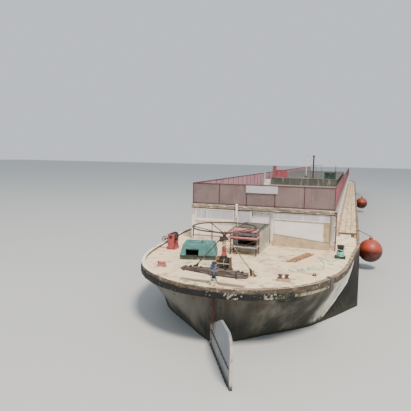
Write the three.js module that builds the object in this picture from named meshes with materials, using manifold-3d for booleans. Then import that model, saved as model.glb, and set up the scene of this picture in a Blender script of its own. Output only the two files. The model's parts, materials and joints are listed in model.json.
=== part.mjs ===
// River barge of reinforced concrete, 1:2 scale model, millimetres.
// X points to starboard, Y forward to the bow, Z up. Z = 0 is the flat bottom of the hull.
import * as THREE from 'three';
import { mergeVertices } from 'three/addons/utils/BufferGeometryUtils.js';
import Module from 'manifold-3d';

const wasm = await Module();
wasm.setup();

// Driving dimensions
const HULL_LENGTH = 35000;
const HALF_BEAM = 2000;
const DECK_EDGE_Z = 1540;
const DECK_CAMBER = 15;
const DECK_THICK = 50;
const GAP = 0.3;

// Stern to bow places, measured from the outer face of the stern wall
const STERN_DECK = 3345;
const STOCK_FROM_WALL = -3100;
const TERRACE_LENGTH = 8100;
const TRUNK_LENGTH = 11900;
const HOUSE_LENGTH = 27000;
const WALL_SPLIT = 13500;

// Deckhouse
const HOUSE_HALF = 1500;
const WALL_THICK = 75;
const ROOF_THICK = 50;
const ROOF_TOP = 2338;
const TRUNK_HALF = 1230;
const TRUNK_TOP = ROOF_TOP + 275;
const RAIL_HEIGHT = 456;

// Rudder, with the blade put over to starboard
const STOCK_RADIUS = 27;
const BLADE_LENGTH = 1225;
const BLADE_THICK = 36;
const RUDDER_REST = 28;

// Origin at the middle of the overall length
const rad = (degrees) => degrees * Math.PI / 180;
const BLADE_REACH = BLADE_LENGTH * Math.cos(rad(RUDDER_REST)) + BLADE_THICK / 2 * Math.sin(rad(RUDDER_REST));
const AFT_MOST = STOCK_FROM_WALL - BLADE_REACH;
const FORE_MOST = HULL_LENGTH - STERN_DECK;
const WALL_Y = -(AFT_MOST + FORE_MOST) / 2;
const STERN_Y = WALL_Y - STERN_DECK;
const BOW_Y = WALL_Y + FORE_MOST;
const STOCK_Y = WALL_Y + STOCK_FROM_WALL;
const TRUNK_Y = WALL_Y + TERRACE_LENGTH;
const FORE_WALL_Y = WALL_Y + HOUSE_LENGTH;
const UNDER_DECK = DECK_EDGE_Z - DECK_THICK;
const FLOOR = UNDER_DECK + GAP;
const deckZ = (x) => DECK_EDGE_Z + DECK_CAMBER * (1 - (x / HALF_BEAM) ** 2);

const barge = new THREE.Group();

// Finishes
const finish = (color, roughness, metalness) => new THREE.MeshStandardMaterial({ color, roughness, metalness });
const CONCRETE = finish('#a9a596', 0.95, 0);
const DECK_CREAM = finish('#d8cdb4', 0.95, 0);
const BLACK_STRAKE = finish('#2c2a2b', 0.9, 0);
const RENDERED_WALL = finish('#c9c6c0', 0.9, 0);
const GREY_GREEN = finish('#5f635d', 0.85, 0);
const MAROON_STEEL = finish('#8e5560', 0.6, 0.3);
const RUSTY_STEEL = finish('#6b4a44', 0.85, 0.4);
const DARK_STEEL = finish('#3a3534', 0.7, 0.5);
const PALE_STEEL = finish('#a9aaae', 0.7, 0.3);
const WHITE_PAINT = finish('#e6e2dc', 0.7, 0);
const TEAL_PAINT = finish('#5c9797', 0.6, 0);
const OLD_TIMBER = finish('#5a4a48', 0.95, 0);
const PALE_PLANK = finish('#d9cfb5', 0.95, 0);
const RED_BOARD = finish('#c96a6e', 0.8, 0);
const ORANGE_RUBBER = finish('#c4503a', 0.6, 0);
const TEAL_ROPE = finish('#7fbcae', 0.95, 0);
const GLAZING = finish('#3d474b', 0.2, 0);

// Solids: joins and cuts
function toManifold(geometry) {
  const bare = geometry.clone();
  bare.deleteAttribute('normal');
  bare.deleteAttribute('uv');
  const merged = mergeVertices(bare.index ? bare.toNonIndexed() : bare, 1e-3);
  const mesh = new wasm.Mesh({
    numProp: 3,
    vertProperties: new Float32Array(merged.attributes.position.array),
    triVerts: new Uint32Array(merged.index.array),
  });
  mesh.merge();
  return new wasm.Manifold(mesh);
}

function toGeometry(solid) {
  const mesh = solid.getMesh();
  const geometry = new THREE.BufferGeometry();
  geometry.setAttribute('position', new THREE.BufferAttribute(mesh.vertProperties, 3));
  geometry.setIndex(new THREE.BufferAttribute(mesh.triVerts, 1));
  return geometry;
}

function join(...geometries) {
  return toGeometry(geometries.map(toManifold).reduce((whole, next) => whole.add(next)));
}

function cut(geometry, ...tools) {
  return toGeometry(tools.map(toManifold).reduce((whole, tool) => whole.subtract(tool), toManifold(geometry)));
}

function common(first, second) {
  return toGeometry(toManifold(first).intersect(toManifold(second)));
}

function part(name, geometry, material, group = barge) {
  geometry.computeVertexNormals();
  const mesh = new THREE.Mesh(geometry, material);
  mesh.name = name;
  group.add(mesh);
  return mesh;
}

// Basic shapes, given by their limits in the barge's frame
function box(x0, x1, y0, y1, z0, z1) {
  const shape = new THREE.BoxGeometry(x1 - x0, y1 - y0, z1 - z0);
  return shape.translate((x0 + x1) / 2, (y0 + y1) / 2, (z0 + z1) / 2);
}

function rod(from, to, radius, sides = 8, farRadius = radius) {
  const start = new THREE.Vector3(...from);
  const along = new THREE.Vector3(...to).sub(start);
  const shape = new THREE.CylinderGeometry(farRadius, radius, along.length(), sides);
  shape.translate(0, along.length() / 2, 0);
  const turn = new THREE.Quaternion().setFromUnitVectors(new THREE.Vector3(0, 1, 0), along.clone().normalize());
  return shape.applyQuaternion(turn).translate(...from);
}

function prism(outline, z0, z1) {
  const shape = new THREE.Shape(outline.map(([x, y]) => new THREE.Vector2(x, y)));
  return new THREE.ExtrudeGeometry(shape, { depth: z1 - z0, bevelEnabled: false, steps: 1 }).translate(0, 0, z0);
}

// A profile in the cross plane (X, Z), drawn along the barge from y0 to y1
function along(profile, y0, y1) {
  const shape = new THREE.Shape(profile.map(([x, z]) => new THREE.Vector2(x, z)));
  const solid = new THREE.ExtrudeGeometry(shape, { depth: y1 - y0, bevelEnabled: false, steps: 1 });
  return solid.rotateX(Math.PI / 2).translate(0, y1, 0);
}

// Hull: half outlines in plan at a few heights. Along-ship values are distances from the stern
// wall. aft runs from the tip on the centreline round to the crease between counter and side,
// and side from there to the full beam. nose and shoulder are distances back from the bow's tip
// of its end on the centreline and of its corner, and entry is where the full beam starts there.
const LEVELS = [
  { z: 0, nose: 1500, shoulder: [1500, 2600], entry: 4300, side: [[1500, 500], [1880, 1500]],
    aft: [[0, -2750], [110, -2480], [260, -2150], [460, -1750], [670, -1350], [860, -960], [1010, -600]] },
  { z: 260, nose: 900, shoulder: [1650, 2100], entry: 3800, side: [[1620, -200], [1990, 600]],
    aft: [[0, -2880], [200, -2640], [430, -2330], [680, -1990], [910, -1640], [1080, -1330], [1220, -1000]] },
  { z: 650, nose: 480, shoulder: [1720, 1900], entry: 3400, side: [[1625, -1200], [1990, -500]],
    aft: [[0, -3000], [260, -2840], [570, -2530], [860, -2250], [1110, -2000], [1240, -1850], [1335, -1700]] },
  { z: 900, nose: 340, shoulder: [1740, 1840], entry: 3300, side: [[1800, -700], [1994, -150]],
    aft: [[0, -3000], [330, -2900], [710, -2610], [1040, -2275], [1290, -1900], [1450, -1550], [1610, -1050]] },
  { z: 1100, nose: 240, shoulder: [1750, 1790], entry: 3250, side: [[1900, -250], [1997, 100]],
    aft: [[0, -3000], [380, -2950], [800, -2725], [1150, -2375], [1410, -1950], [1600, -1450], [1775, -650]] },
  { z: 1310, nose: 140, shoulder: [1760, 1750], entry: 3200, side: [[1925, 0], [2000, 350]],
    aft: [[0, -3000], [430, -3010], [880, -2870], [1255, -2500], [1515, -2035], [1695, -1480], [1846, -370]] },
  { z: 1430, nose: 60, shoulder: [1770, 1700], entry: 3100, side: [[1950, 150], [HALF_BEAM, 650]],
    aft: [[0, -3300], [475, -3235], [912, -3000], [1308, -2605], [1578, -2080], [1733, -1510], [1880, -215]] },
];
LEVELS.push({ ...LEVELS[LEVELS.length - 1], z: UNDER_DECK });
const RIM = { nose: 0, shoulder: [1790, 1700], entry: 3100, side: [[1960, 250], [HALF_BEAM, 650]],
  aft: [[0, -STERN_DECK], [485, -3280], [935, -3050], [1345, -2645], [1620, -2110], [1775, -1530], [1905, -215]] };
const STERN_STEPS = 3;
const BOW_STEPS = 12;

// A smooth line through the points, square to the centreline at the first
function sternCurve(points) {
  const [, [x1, y1]] = points;
  const line = [[-x1, y1], ...points].map(([x, y]) => new THREE.Vector3(x, y, 0));
  const curve = new THREE.CatmullRomCurve3(line, false, 'centripetal');
  const smooth = curve.getPoints((line.length - 1) * STERN_STEPS).slice(STERN_STEPS);
  return smooth.map(({ x, y }, i) => [i ? x : 0, y]);
}

// From the bow's end on the centreline round to its corner
function bowCurve(end, [cx, cy]) {
  const pull = cy - end;
  const curve = new THREE.CubicBezierCurve(
    new THREE.Vector2(0, end),
    new THREE.Vector2(cx * 0.42, end + pull * 0.12),
    new THREE.Vector2(cx * 0.93, end + pull * 0.5),
    new THREE.Vector2(cx, cy),
  );
  return curve.getPoints(BOW_STEPS).map((point) => [point.x, point.y]);
}

function halfOutline({ aft, side, nose, shoulder, entry }) {
  const fullBeam = side[side.length - 1][0];
  const fore = bowCurve(FORE_MOST - nose, [shoulder[0], FORE_MOST - shoulder[1]]);
  const outline = [...sternCurve(aft), ...side, [fullBeam, FORE_MOST - entry], ...fore.reverse()];
  return outline.map(([x, y]) => [x, y + WALL_Y]);
}

function fullOutline(level) {
  const starboard = halfOutline(level);
  const port = starboard.slice(1, -1).reverse().map(([x, y]) => [-x, y]);
  return starboard.concat(port);
}

function loft(levels) {
  const rings = levels.map((level) => fullOutline(level).map(([x, y]) => [x, y, level.z]));
  const count = rings[0].length;
  const triangles = [];
  const quad = (a, b, c, d) => triangles.push(a, b, c, a, c, d);
  for (let i = 0; i + 1 < rings.length; i += 1) {
    for (let j = 0; j < count; j += 1) {
      const k = (j + 1) % count;
      quad(rings[i][j], rings[i][k], rings[i + 1][k], rings[i + 1][j]);
    }
  }
  const cap = (points, up) => {
    const flat = points.map(([x, y]) => new THREE.Vector2(x, y));
    for (const [a, b, c] of THREE.ShapeUtils.triangulateShape(flat, [])) {
      triangles.push(...(up ? [points[a], points[b], points[c]] : [points[a], points[c], points[b]]));
    }
  };
  cap(rings[0], false);
  cap(rings[rings.length - 1], true);
  const geometry = new THREE.BufferGeometry();
  geometry.setAttribute('position', new THREE.BufferAttribute(new Float32Array(triangles.flat()), 3));
  return geometry;
}

// A pin turns freely in a hole with this many flat sides, GAP clear of them all
const BEARING_SIDES = 12;
const bearing = (radius) => (radius + GAP) / Math.cos(Math.PI / BEARING_SIDES);

// The overhang and its deck keep this hole round the rudder stock
const STOCK_CLEARANCE = 12;
const stockHole = () => rod([0, STOCK_Y, 1100], [0, STOCK_Y, 1700], STOCK_RADIUS + STOCK_CLEARANCE, 12);

// Deck slabs: flat below, cambered above
function camberBlock(y0, y1, steps = 10) {
  const top = [];
  for (let i = 0; i <= steps; i += 1) {
    const x = HALF_BEAM - 2 * HALF_BEAM * i / steps;
    top.push([x, deckZ(x)]);
  }
  return along([[-HALF_BEAM, FLOOR], [HALF_BEAM, FLOOR], ...top], y0, y1);
}


// An outline moved outwards by a distance, or inwards where it is negative
function offset(outline, distance) {
  return outline.map(([x, y], i) => {
    const [ax, ay] = outline[(i + outline.length - 1) % outline.length];
    const [bx, by] = outline[(i + 1) % outline.length];
    const before = new THREE.Vector2(y - ay, ax - x).normalize();
    const after = new THREE.Vector2(by - y, x - bx).normalize();
    const normal = before.clone().add(after).normalize();
    const reach = distance / normal.dot(before);
    return [x + normal.x * reach, y + normal.y * reach];
  });
}

// Low kerb along the edge of every deck
const KERB = { wide: 55, rise: 50 };

function kerb(x0, x1, y0, y1) {
  const outer = prism(fullOutline(RIM), FLOOR, DECK_EDGE_Z + KERB.rise);
  const inner = prism(offset(fullOutline(RIM), -KERB.wide), FLOOR - 5, DECK_EDGE_Z + KERB.rise + 5);
  return common(cut(outer, inner), box(x0, x1, y0, y1, FLOOR - 5, DECK_EDGE_Z + 200));
}

function decks() {
  const plan = prism(fullOutline(RIM), FLOOR - 5, DECK_EDGE_Z + DECK_CAMBER + 5);
  const slab = (x0, x1, y0, y1) => join(
    common(common(plan, camberBlock(y0, y1)), box(x0, x1, y0, y1, FLOOR - 50, DECK_EDGE_Z + 200)),
    kerb(x0, x1, y0, y1),
  );
  const wide = HALF_BEAM + 50;
  const edge = HOUSE_HALF + GAP;
  part('aft_deck', cut(slab(-wide, wide, STERN_Y - 50, WALL_Y - GAP), stockHole()), DECK_CREAM);
  part('fore_deck', slab(-wide, wide, FORE_WALL_Y + GAP, BOW_Y + 50), DECK_CREAM);
  part('port_side_deck', slab(-wide, -edge, WALL_Y, FORE_WALL_Y), DECK_CREAM);
  part('starboard_side_deck', slab(edge, wide, WALL_Y, FORE_WALL_Y), DECK_CREAM);
}

// A piece drawn down into the deck is cut off along its cambered top
function onDeck(...geometries) {
  const deck = camberBlock(STERN_Y - 100, BOW_Y + 100).translate(0, 0, GAP);
  return cut(join(...geometries), deck);
}

// Black fender strake round the stern, over and under the deck slab's edge; it stops at the
// starboard quarter
const STRAKE = { bottom: 1437, top: 1528, proud: 12, portEnd: -1700, starboardEnd: 1110 };

function strake() {
  const { bottom, top, proud, portEnd, starboardEnd } = STRAKE;
  const band = cut(
    prism(offset(fullOutline(RIM), proud), bottom, top),
    prism(offset(fullOutline(RIM), GAP), UNDER_DECK, top + 50),
    prism(offset(fullOutline(LEVELS[LEVELS.length - 1]), GAP), bottom - 50, top + 50),
  );
  const keep = box(portEnd, starboardEnd, STERN_Y - 50, WALL_Y - 1500, bottom - 50, top + 50);
  part('rubbing_strake', common(band, keep), BLACK_STRAKE);
}

// Deckhouse walls with windows
function windows(side, y0, y1, z0, z1, width, pitch) {
  const inner = HOUSE_HALF - WALL_THICK - 50;
  const outer = HOUSE_HALF + 50;
  const holes = [];
  const count = Math.floor((y1 - y0 - width) / pitch) + 1;
  const first = (y0 + y1) / 2 - (count - 1) * pitch / 2;
  for (let i = 0; i < count; i += 1) {
    const y = first + i * pitch;
    const [xa, xb] = side > 0 ? [inner, outer] : [-outer, -inner];
    holes.push(box(xa, xb, y - width / 2, y + width / 2, z0, z1));
  }
  return holes;
}

const WINDOW = { z0: 1830, z1: 2110, width: 460, pitch: 1500 };

function sideWalls() {
  const sections = [
    { name: 'aft', from: WALL_Y + WALL_THICK, to: WALL_Y + WALL_SPLIT },
    { name: 'fore', from: WALL_Y + WALL_SPLIT, to: FORE_WALL_Y - WALL_THICK },
  ];
  const inner = HOUSE_HALF - WALL_THICK;
  for (const [sideName, side] of [['port', -1], ['starboard', 1]]) {
    const span = (near, far) => (side > 0 ? [near, far] : [-far, -near]);
    for (const { name, from, to } of sections) {
      const [y0, y1] = [from + GAP, to - GAP];
      const solid = box(...span(inner, HOUSE_HALF), y0, y1, FLOOR, ROOF_TOP - ROOF_THICK - GAP);
      const holes = windows(side, y0 + 400, y1 - 400, WINDOW.z0, WINDOW.z1, WINDOW.width, WINDOW.pitch);
      part(`${sideName}_wall_${name}`, cut(solid, ...holes), RENDERED_WALL);
    }
    const pane = span(inner - 8, inner - GAP);
    const [z0, z1] = [WINDOW.z0 - 20, WINDOW.z1 + 20];
    part(`${sideName}_glazing`, box(...pane, WALL_Y + 300, FORE_WALL_Y - 300, z0, z1), GLAZING);
  }
}

// Stern wall: bays between pilasters, a sloping ledge and the doorway
const DOOR = { x0: -175, x1: 225, top: 2220, sill: 1600 };

function sternWall() {
  const y1 = WALL_Y + WALL_THICK;
  const top = ROOF_TOP - ROOF_THICK - GAP;
  let wall = join(
    box(-HOUSE_HALF, HOUSE_HALF, WALL_Y, y1, FLOOR, top),
    box(-HOUSE_HALF, -HOUSE_HALF + 70, WALL_Y - 18, y1, FLOOR + DECK_THICK + 100, top),
    box(HOUSE_HALF - 90, HOUSE_HALF, WALL_Y - 18, y1, FLOOR + DECK_THICK + 100, top),
    box(DOOR.x1 + 5, DOOR.x1 + 60, WALL_Y - 18, y1, FLOOR + DECK_THICK + 100, top),
  );
  const recess = box(DOOR.x1 + 62, HOUSE_HALF - 92, WALL_Y - 1, WALL_Y + 14, 1790, 2090);
  const portRecess = box(-HOUSE_HALF + 72, -560, WALL_Y - 1, WALL_Y + 14, 1660, 1950);
  const doorway = box(DOOR.x0, DOOR.x1, WALL_Y - 50, y1 + 50, DOOR.sill, DOOR.top);
  wall = cut(wall, recess, portRecess, doorway);
  part('stern_wall', wall, RENDERED_WALL);
}

const FORE_DOOR = { x0: -900, x1: -500, top: 2220, sill: 1600 };

function foreWall() {
  const y0 = FORE_WALL_Y - WALL_THICK;
  const wall = box(-HOUSE_HALF, HOUSE_HALF, y0, FORE_WALL_Y, FLOOR, ROOF_TOP - ROOF_THICK - GAP);
  const { x0, x1, top, sill } = FORE_DOOR;
  part('fore_wall', cut(wall, box(x0, x1, y0 - 50, FORE_WALL_Y + 50, sill, top)), RENDERED_WALL);
}

// Door leaves hang flush with the inner face of their wall and swing into the house. Their hinge
// knuckles lie on that face, so the pin's line is KNUCKLE + GAP clear of it.
const DOOR_THICK = 22;
const DOOR_PLAY = 7;
const KNUCKLE = 8;
const PIN_OFFSET = 2;

function doors() {
  const leaves = [
    { name: 'stern_door', door: DOOR, face: WALL_Y + WALL_THICK, inward: 1 },
    { name: 'fore_door', door: FORE_DOOR, face: FORE_WALL_Y - WALL_THICK, inward: -1 },
  ];
  for (const { name, door, face, inward } of leaves) {
    const { x0, x1, sill, top } = door;
    const deep = (near, far) => [face + inward * near, face + inward * far].sort((a, b) => a - b);
    const pieces = [
      box(x0 + DOOR_PLAY, x1 - DOOR_PLAY, ...deep(-DOOR_THICK, 0), sill + DOOR_PLAY, top - DOOR_PLAY),
      box(x1 - 70, x1 - 30, ...deep(-DOOR_THICK - 24, -DOOR_THICK + 2), 1900, 1912),
    ];
    for (const z of [sill + 110, top - 170]) {
      const pin = [x0 - PIN_OFFSET, face + inward * (KNUCKLE + GAP)];
      pieces.push(rod([...pin, z], [...pin, z + 60], KNUCKLE, 12));
      pieces.push(box(x0 + DOOR_PLAY + 2, x0 + 60, ...deep(-3, 6), z + 5, z + 55));
      pieces.push(box(x0 - PIN_OFFSET - 1, x0 + 40, ...deep(0.5, 5.5), z + 7, z + 53));
    }
    part(name, join(...pieces), PALE_STEEL);
  }
}

function roofs() {
  const low = ROOF_TOP - ROOF_THICK;
  const edge = HOUSE_HALF + 12;
  part('terrace_roof', box(-edge, edge, WALL_Y - 20, TRUNK_Y - GAP, low, ROOF_TOP), DECK_CREAM);
  part('fore_roof', box(-edge, edge, TRUNK_Y, FORE_WALL_Y + 12, low, ROOF_TOP), DECK_CREAM);
  part('roof_trunk', join(
    box(-TRUNK_HALF, TRUNK_HALF, TRUNK_Y + 10, TRUNK_Y + TRUNK_LENGTH, ROOF_TOP + GAP, TRUNK_TOP - 20),
    box(-TRUNK_HALF - 15, TRUNK_HALF + 15, TRUNK_Y, TRUNK_Y + TRUNK_LENGTH + 10, TRUNK_TOP - 30, TRUNK_TOP),
  ), GREY_GREEN);
}

// Gear that stands on the roofs round the trunk's aft end
function roofGear() {
  const steps = [0, 1, 2].map((i) => box(-TRUNK_HALF - 235, -TRUNK_HALF - 30, TRUNK_Y - 330 + 110 * i,
    TRUNK_Y - GAP, ROOF_TOP + GAP + (i ? 70 * i - 10 : 0), ROOF_TOP + 70 * (i + 1)));
  part('roof_steps', join(...steps), WHITE_PAINT);
  part('roof_locker', join(
    box(760, 1150, TRUNK_Y + 120, TRUNK_Y + 420, TRUNK_TOP + GAP, TRUNK_TOP + 230),
    box(750, 1160, TRUNK_Y + 110, TRUNK_Y + 430, TRUNK_TOP + 215, TRUNK_TOP + 250),
  ), TEAL_PAINT);
  const pipe = [310, TRUNK_Y + 500];
  part('stove_pipe', join(
    rod([...pipe, TRUNK_TOP + GAP], [...pipe, TRUNK_TOP + 14], 60, 12),
    rod([...pipe, TRUNK_TOP], [...pipe, TRUNK_TOP + 850], 26, 12),
    rod([...pipe, TRUNK_TOP + 830], [...pipe, TRUNK_TOP + 895], 48, 12, 10),
  ), DARK_STEEL);
}

const MAST = { x: -60, y: TRUNK_Y + 1500, pivot: TRUNK_TOP + 75, height: 870, radius: 13, pin: 8 };

function mast() {
  const { x, y, pivot, height, radius, pin } = MAST;
  const cheek = (side) => box(x + side * 26 - 6, x + side * 26 + 6, y - 32, y + 32, TRUNK_TOP + 8, pivot + 30);
  part('mast_foot', cut(join(
    box(x - 70, x + 70, y - 60, y + 60, TRUNK_TOP + GAP, TRUNK_TOP + 14),
    cheek(-1),
    cheek(1),
  ), rod([x - 60, y, pivot], [x + 60, y, pivot], bearing(pin), BEARING_SIDES)), DARK_STEEL);
  part('mast', join(
    rod([x, y, TRUNK_TOP + 35], [x, y, TRUNK_TOP + height], radius, 10),
    rod([x - 38, y, pivot], [x + 38, y, pivot], pin, BEARING_SIDES),
    rod([x - 130, y, TRUNK_TOP + height - 160], [x + 130, y, TRUNK_TOP + height - 160], 6, 6),
  ), WHITE_PAINT);
}

// Railings: posts, a top and a bottom rail, and the mesh as a thin sheet. Each member has its
// own thickness, so that no two faces lie in one plane.
const RAIL = { post: 11, top: 13, bottom: 8, sheet: 2.5, foot: 22 };

function railing(name, from, to, bays, base) {
  const line = new THREE.Vector2(to[0] - from[0], to[1] - from[1]);
  const length = line.length();
  const top = RAIL_HEIGHT;
  const bar = (half, z0, z1) => box(-half, length + half, -half, half, z0, z1);
  const pieces = [bar(RAIL.top, top - 24, top), bar(RAIL.bottom, RAIL.foot, RAIL.foot + 16),
    bar(RAIL.sheet, RAIL.foot + 8, top - 12)];
  for (let i = 0; i <= bays; i += 1) {
    const x = length * i / bays;
    pieces.push(box(x - RAIL.post, x + RAIL.post, -RAIL.post, RAIL.post, GAP, top - 10));
  }
  const whole = join(...pieces).rotateZ(line.angle()).translate(from[0], from[1], base);
  part(name, whole, MAROON_STEEL);
}

function railings() {
  const x = HOUSE_HALF - 16;
  const y = WALL_Y + 4;
  const first = y + RAIL.top * 2 + GAP;
  const last = TRUNK_Y - 360;
  const fore = FORE_WALL_Y - 60;
  const runs = [
    { name: 'stern_railing', from: [-x, y], to: [x, y], bays: 5 },
    { name: 'port_railing', from: [-x, first], to: [-x, last], bays: 14 },
    { name: 'starboard_railing', from: [x, first], to: [x, TRUNK_Y - 20], bays: 15 },
    { name: 'port_fore_railing', from: [-x, TRUNK_Y + 180], to: [-x, fore], bays: 24 },
    { name: 'starboard_fore_railing', from: [x, TRUNK_Y + 12], to: [x, fore], bays: 24 },
    { name: 'trunk_railing', from: [-TRUNK_HALF + 40, TRUNK_Y + 30], to: [-640, TRUNK_Y + 30], bays: 2,
      base: TRUNK_TOP },
  ];
  for (const { name, from, to, bays, base = ROOF_TOP } of runs) railing(name, from, to, bays, base);
}

// Steering gear on the aft deck: a wheel that lies level on top of a stayed column
const COLUMN = { x: -85, y: WALL_Y - 2310 };
const RING = { z: 2253, radius: 505, thick: 12, spokes: 6 };
const HUB = { z: 2150, radius: 44, half: 22 };

function steeringWheel() {
  const { x, y } = COLUMN;
  const pieces = [new THREE.TorusGeometry(RING.radius, RING.thick, 6, 40).translate(x, y, RING.z)];
  const at = (angle, radius, z) => [x + radius * Math.cos(angle), y + radius * Math.sin(angle), z];
  for (let i = 0; i < RING.spokes; i += 1) {
    const angle = rad(15) + 2 * Math.PI * i / RING.spokes;
    pieces.push(rod(at(angle, 20, HUB.z), at(angle, RING.radius, RING.z), 8, 6));
  }
  pieces.push(rod([x, y, HUB.z - HUB.half], [x, y, HUB.z + HUB.half], HUB.radius, 12));
  for (const angle of [rad(95), rad(187)]) {
    pieces.push(rod(at(angle, RING.radius, RING.z), at(angle, RING.radius, RING.z - 170), 9, 6));
  }
  part('steering_wheel', join(...pieces), RUSTY_STEEL);
}

function steeringColumn() {
  const { x, y } = COLUMN;
  const foot = DECK_EDGE_Z;
  const plate = foot + DECK_CAMBER + 24;
  const bracket = (x0, x1) => box(x + x0, x + x1, y - 95, y + 95, foot, plate + 200);
  part('steering_column', onDeck(
    rod([x, y, plate], [x, y, HUB.z - HUB.half - GAP], 26, 12),
    rod([x, y, 2045], [x, y, 2085], 50, 12),
    rod([x, y, plate + 310], [x, y, plate + 400], 38, 12),
    box(x - 125, x + 125, y - 110, y + 110, foot, plate),
    bracket(-118, -60),
    bracket(78, 118),
    rod([x - 112, y, plate + 110], [x + 112, y, plate + 110], 88, 16),
    rod([x, y, plate + 120], [x, y, plate + 235], 50, 12),
  ), RUSTY_STEEL);
}

function stays() {
  const { x, y } = COLUMN;
  const feet = [{ name: 'port', side: -1, foot: -530 }, { name: 'starboard', side: 1, foot: 425 }];
  for (const { name, side, foot } of feet) {
    const ground = DECK_EDGE_Z + DECK_CAMBER;
    const heel = [foot, y - 150, ground + 40];
    part(`${name}_column_stay`, onDeck(
      rod([x + side * 60, y, 2062], heel, 9, 8),
      box(foot - 50, foot + 50, y - 200, y - 100, ground - 50, ground + 14),
      box(foot - 7, foot + 7, y - 195, y - 105, ground - 50, ground + 80),
    ), RUSTY_STEEL);
  }
}

// Rudder, drawn with its blade amidships in a group that turns about the stock
const BLADE = { bottom: 60, foreTop: 1000, midTop: 1270, aftTop: 1290, aft: 1120, heel: 260 };
const YOKE = { z0: 1690, z1: 1790, half: 500, thick: 110, skew: 4 };

function rudder() {
  const group = new THREE.Group();
  group.position.set(0, STOCK_Y, 0);
  group.rotation.z = rad(RUDDER_REST);
  barge.add(group);

  // Side view: distance aft of the stock against height
  const side = new THREE.Shape();
  side.moveTo(-40, BLADE.bottom);
  side.lineTo(BLADE_LENGTH - 160, BLADE.bottom);
  side.lineTo(BLADE_LENGTH, BLADE.heel);
  side.lineTo(BLADE_LENGTH, BLADE.aft);
  side.quadraticCurveTo(BLADE_LENGTH - 20, BLADE.aft + 150, BLADE_LENGTH - 190, BLADE.aftTop);
  side.lineTo(BLADE_LENGTH / 2, BLADE.midTop);
  side.lineTo(50, BLADE.foreTop);
  side.lineTo(-40, BLADE.foreTop - 15);
  const plate = new THREE.ExtrudeGeometry(side, { depth: BLADE_THICK, bevelEnabled: false, curveSegments: 4 });
  plate.translate(0, 0, -BLADE_THICK / 2).rotateX(Math.PI / 2).rotateZ(-Math.PI / 2);
  const strap = (z) => box(-BLADE_THICK / 2 - 10, BLADE_THICK / 2 + 10, 90 - BLADE_LENGTH, -30, z, z + 26);
  const sleeve = rod([0, 0, BLADE.bottom + 20], [0, 0, BLADE.foreTop], 36, 12);
  const bore = (radius, z0, z1) => rod([0, 0, z0], [0, 0, z1], radius, 12);
  part('rudder_blade', cut(join(plate, strap(640), strap(880), sleeve),
    bore(STOCK_RADIUS + GAP, BLADE.bottom - 10, 1100)), PALE_STEEL, group);
  part('rudder_stock', join(
    bore(STOCK_RADIUS, BLADE.bottom, YOKE.z1 + 90),
    bore(48, BLADE.foreTop + GAP, BLADE.foreTop + 30),
    bore(42, YOKE.z1 + 25, YOKE.z1 + 100),
  ), RUSTY_STEEL, group);

  // Timber yoke on the stock's head, arched below and thinner at its port end
  const arch = [[-YOKE.half, 1722], [-150, 1702], [0, YOKE.z0], [300, YOKE.z0], [YOKE.half, 1700],
    [YOKE.half, 1772], [0, YOKE.z1], [-YOKE.half, 1762]];
  const front = new THREE.Shape(arch.map(([x, z]) => new THREE.Vector2(x, z)));
  const timber = new THREE.ExtrudeGeometry(front, { depth: YOKE.thick, bevelEnabled: false });
  timber.translate(0, 0, -YOKE.thick / 2).rotateX(Math.PI / 2).rotateZ(rad(-RUDDER_REST - YOKE.skew));
  part('tiller_beam', cut(timber, bore(STOCK_RADIUS + GAP, 1650, 1850)), OLD_TIMBER, group);
}

function stockGland() {
  const base = DECK_EDGE_Z + DECK_CAMBER;
  const at = (radius, z0, z1) => rod([0, STOCK_Y, z0], [0, STOCK_Y, z1], radius, 12);
  part('stock_gland', cut(onDeck(at(75, base - 40, base + 14), at(50, base, base + 66)),
    at(bearing(STOCK_RADIUS), base - 60, base + 90)), RUSTY_STEEL);
}

// Companionway below the stern door: a box coaming with a hinged lid
const COMPANION = { x0: -300, x1: 210, y0: WALL_Y - 880, y1: WALL_Y - 24, top: 1985, wall: 30 };

function companionway() {
  const { x0, x1, y0, y1, top, wall } = COMPANION;
  const inside = box(x0 + wall, x1 - wall, y0 + wall, y1 - wall, DECK_EDGE_Z, top + 50);
  const mouth = box(x0 + wall + 40, x1 - wall - 40, y0 - 50, y0 + wall + 50, 1690, 1900);
  part('companion_box', cut(onDeck(box(x0, x1, y0, y1, DECK_EDGE_Z, top)), inside, mouth), PALE_STEEL);
  part('companion_lid', join(
    box(x0 - 10, x1 + 10, y0 - 10, y1 - 6, top + GAP, top + 22),
    box(x0 + 90, x0 + 150, y0 + 60, y0 + 75, top + 15, top + 45),
  ), GREY_GREEN);
}

// Bench in front of the companionway, with boards stacked on its frame
const BENCH = { x0: -330, x1: 205, y0: WALL_Y - 1175, y1: WALL_Y - 925 };

function bench() {
  const { x0, x1, y0, y1 } = BENCH;
  const leg = (x, y) => box(x - 9, x + 9, y - 9, y + 9, DECK_EDGE_Z, 2000);
  const board = (dx0, dx1, z0, z1) => box(x0 + dx0, x1 + dx1, y0, y1, z0, z1);
  part('deck_bench', onDeck(
    leg(x0 + 30, y0 + 12),
    leg(x0 + 30, y1 - 12),
    leg(x1 - 20, y0 + 12),
    leg(x1 - 20, y1 - 12),
    board(20, -10, 1700, 1715),
    board(0, 0, 1868, 1900),
    board(90, -10, 1925, 1975),
    board(20, -20, 1996, 2024),
  ), RED_BOARD);
}

// Teal hatch on the port side: a low coaming and a hood that hinges at its forward edge
const HATCH = { x: -778, y: WALL_Y - 1525, wide: 640, deep: 600, rise: 175, base: DECK_EDGE_Z + DECK_CAMBER + 75,
  turn: 14 };

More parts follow.
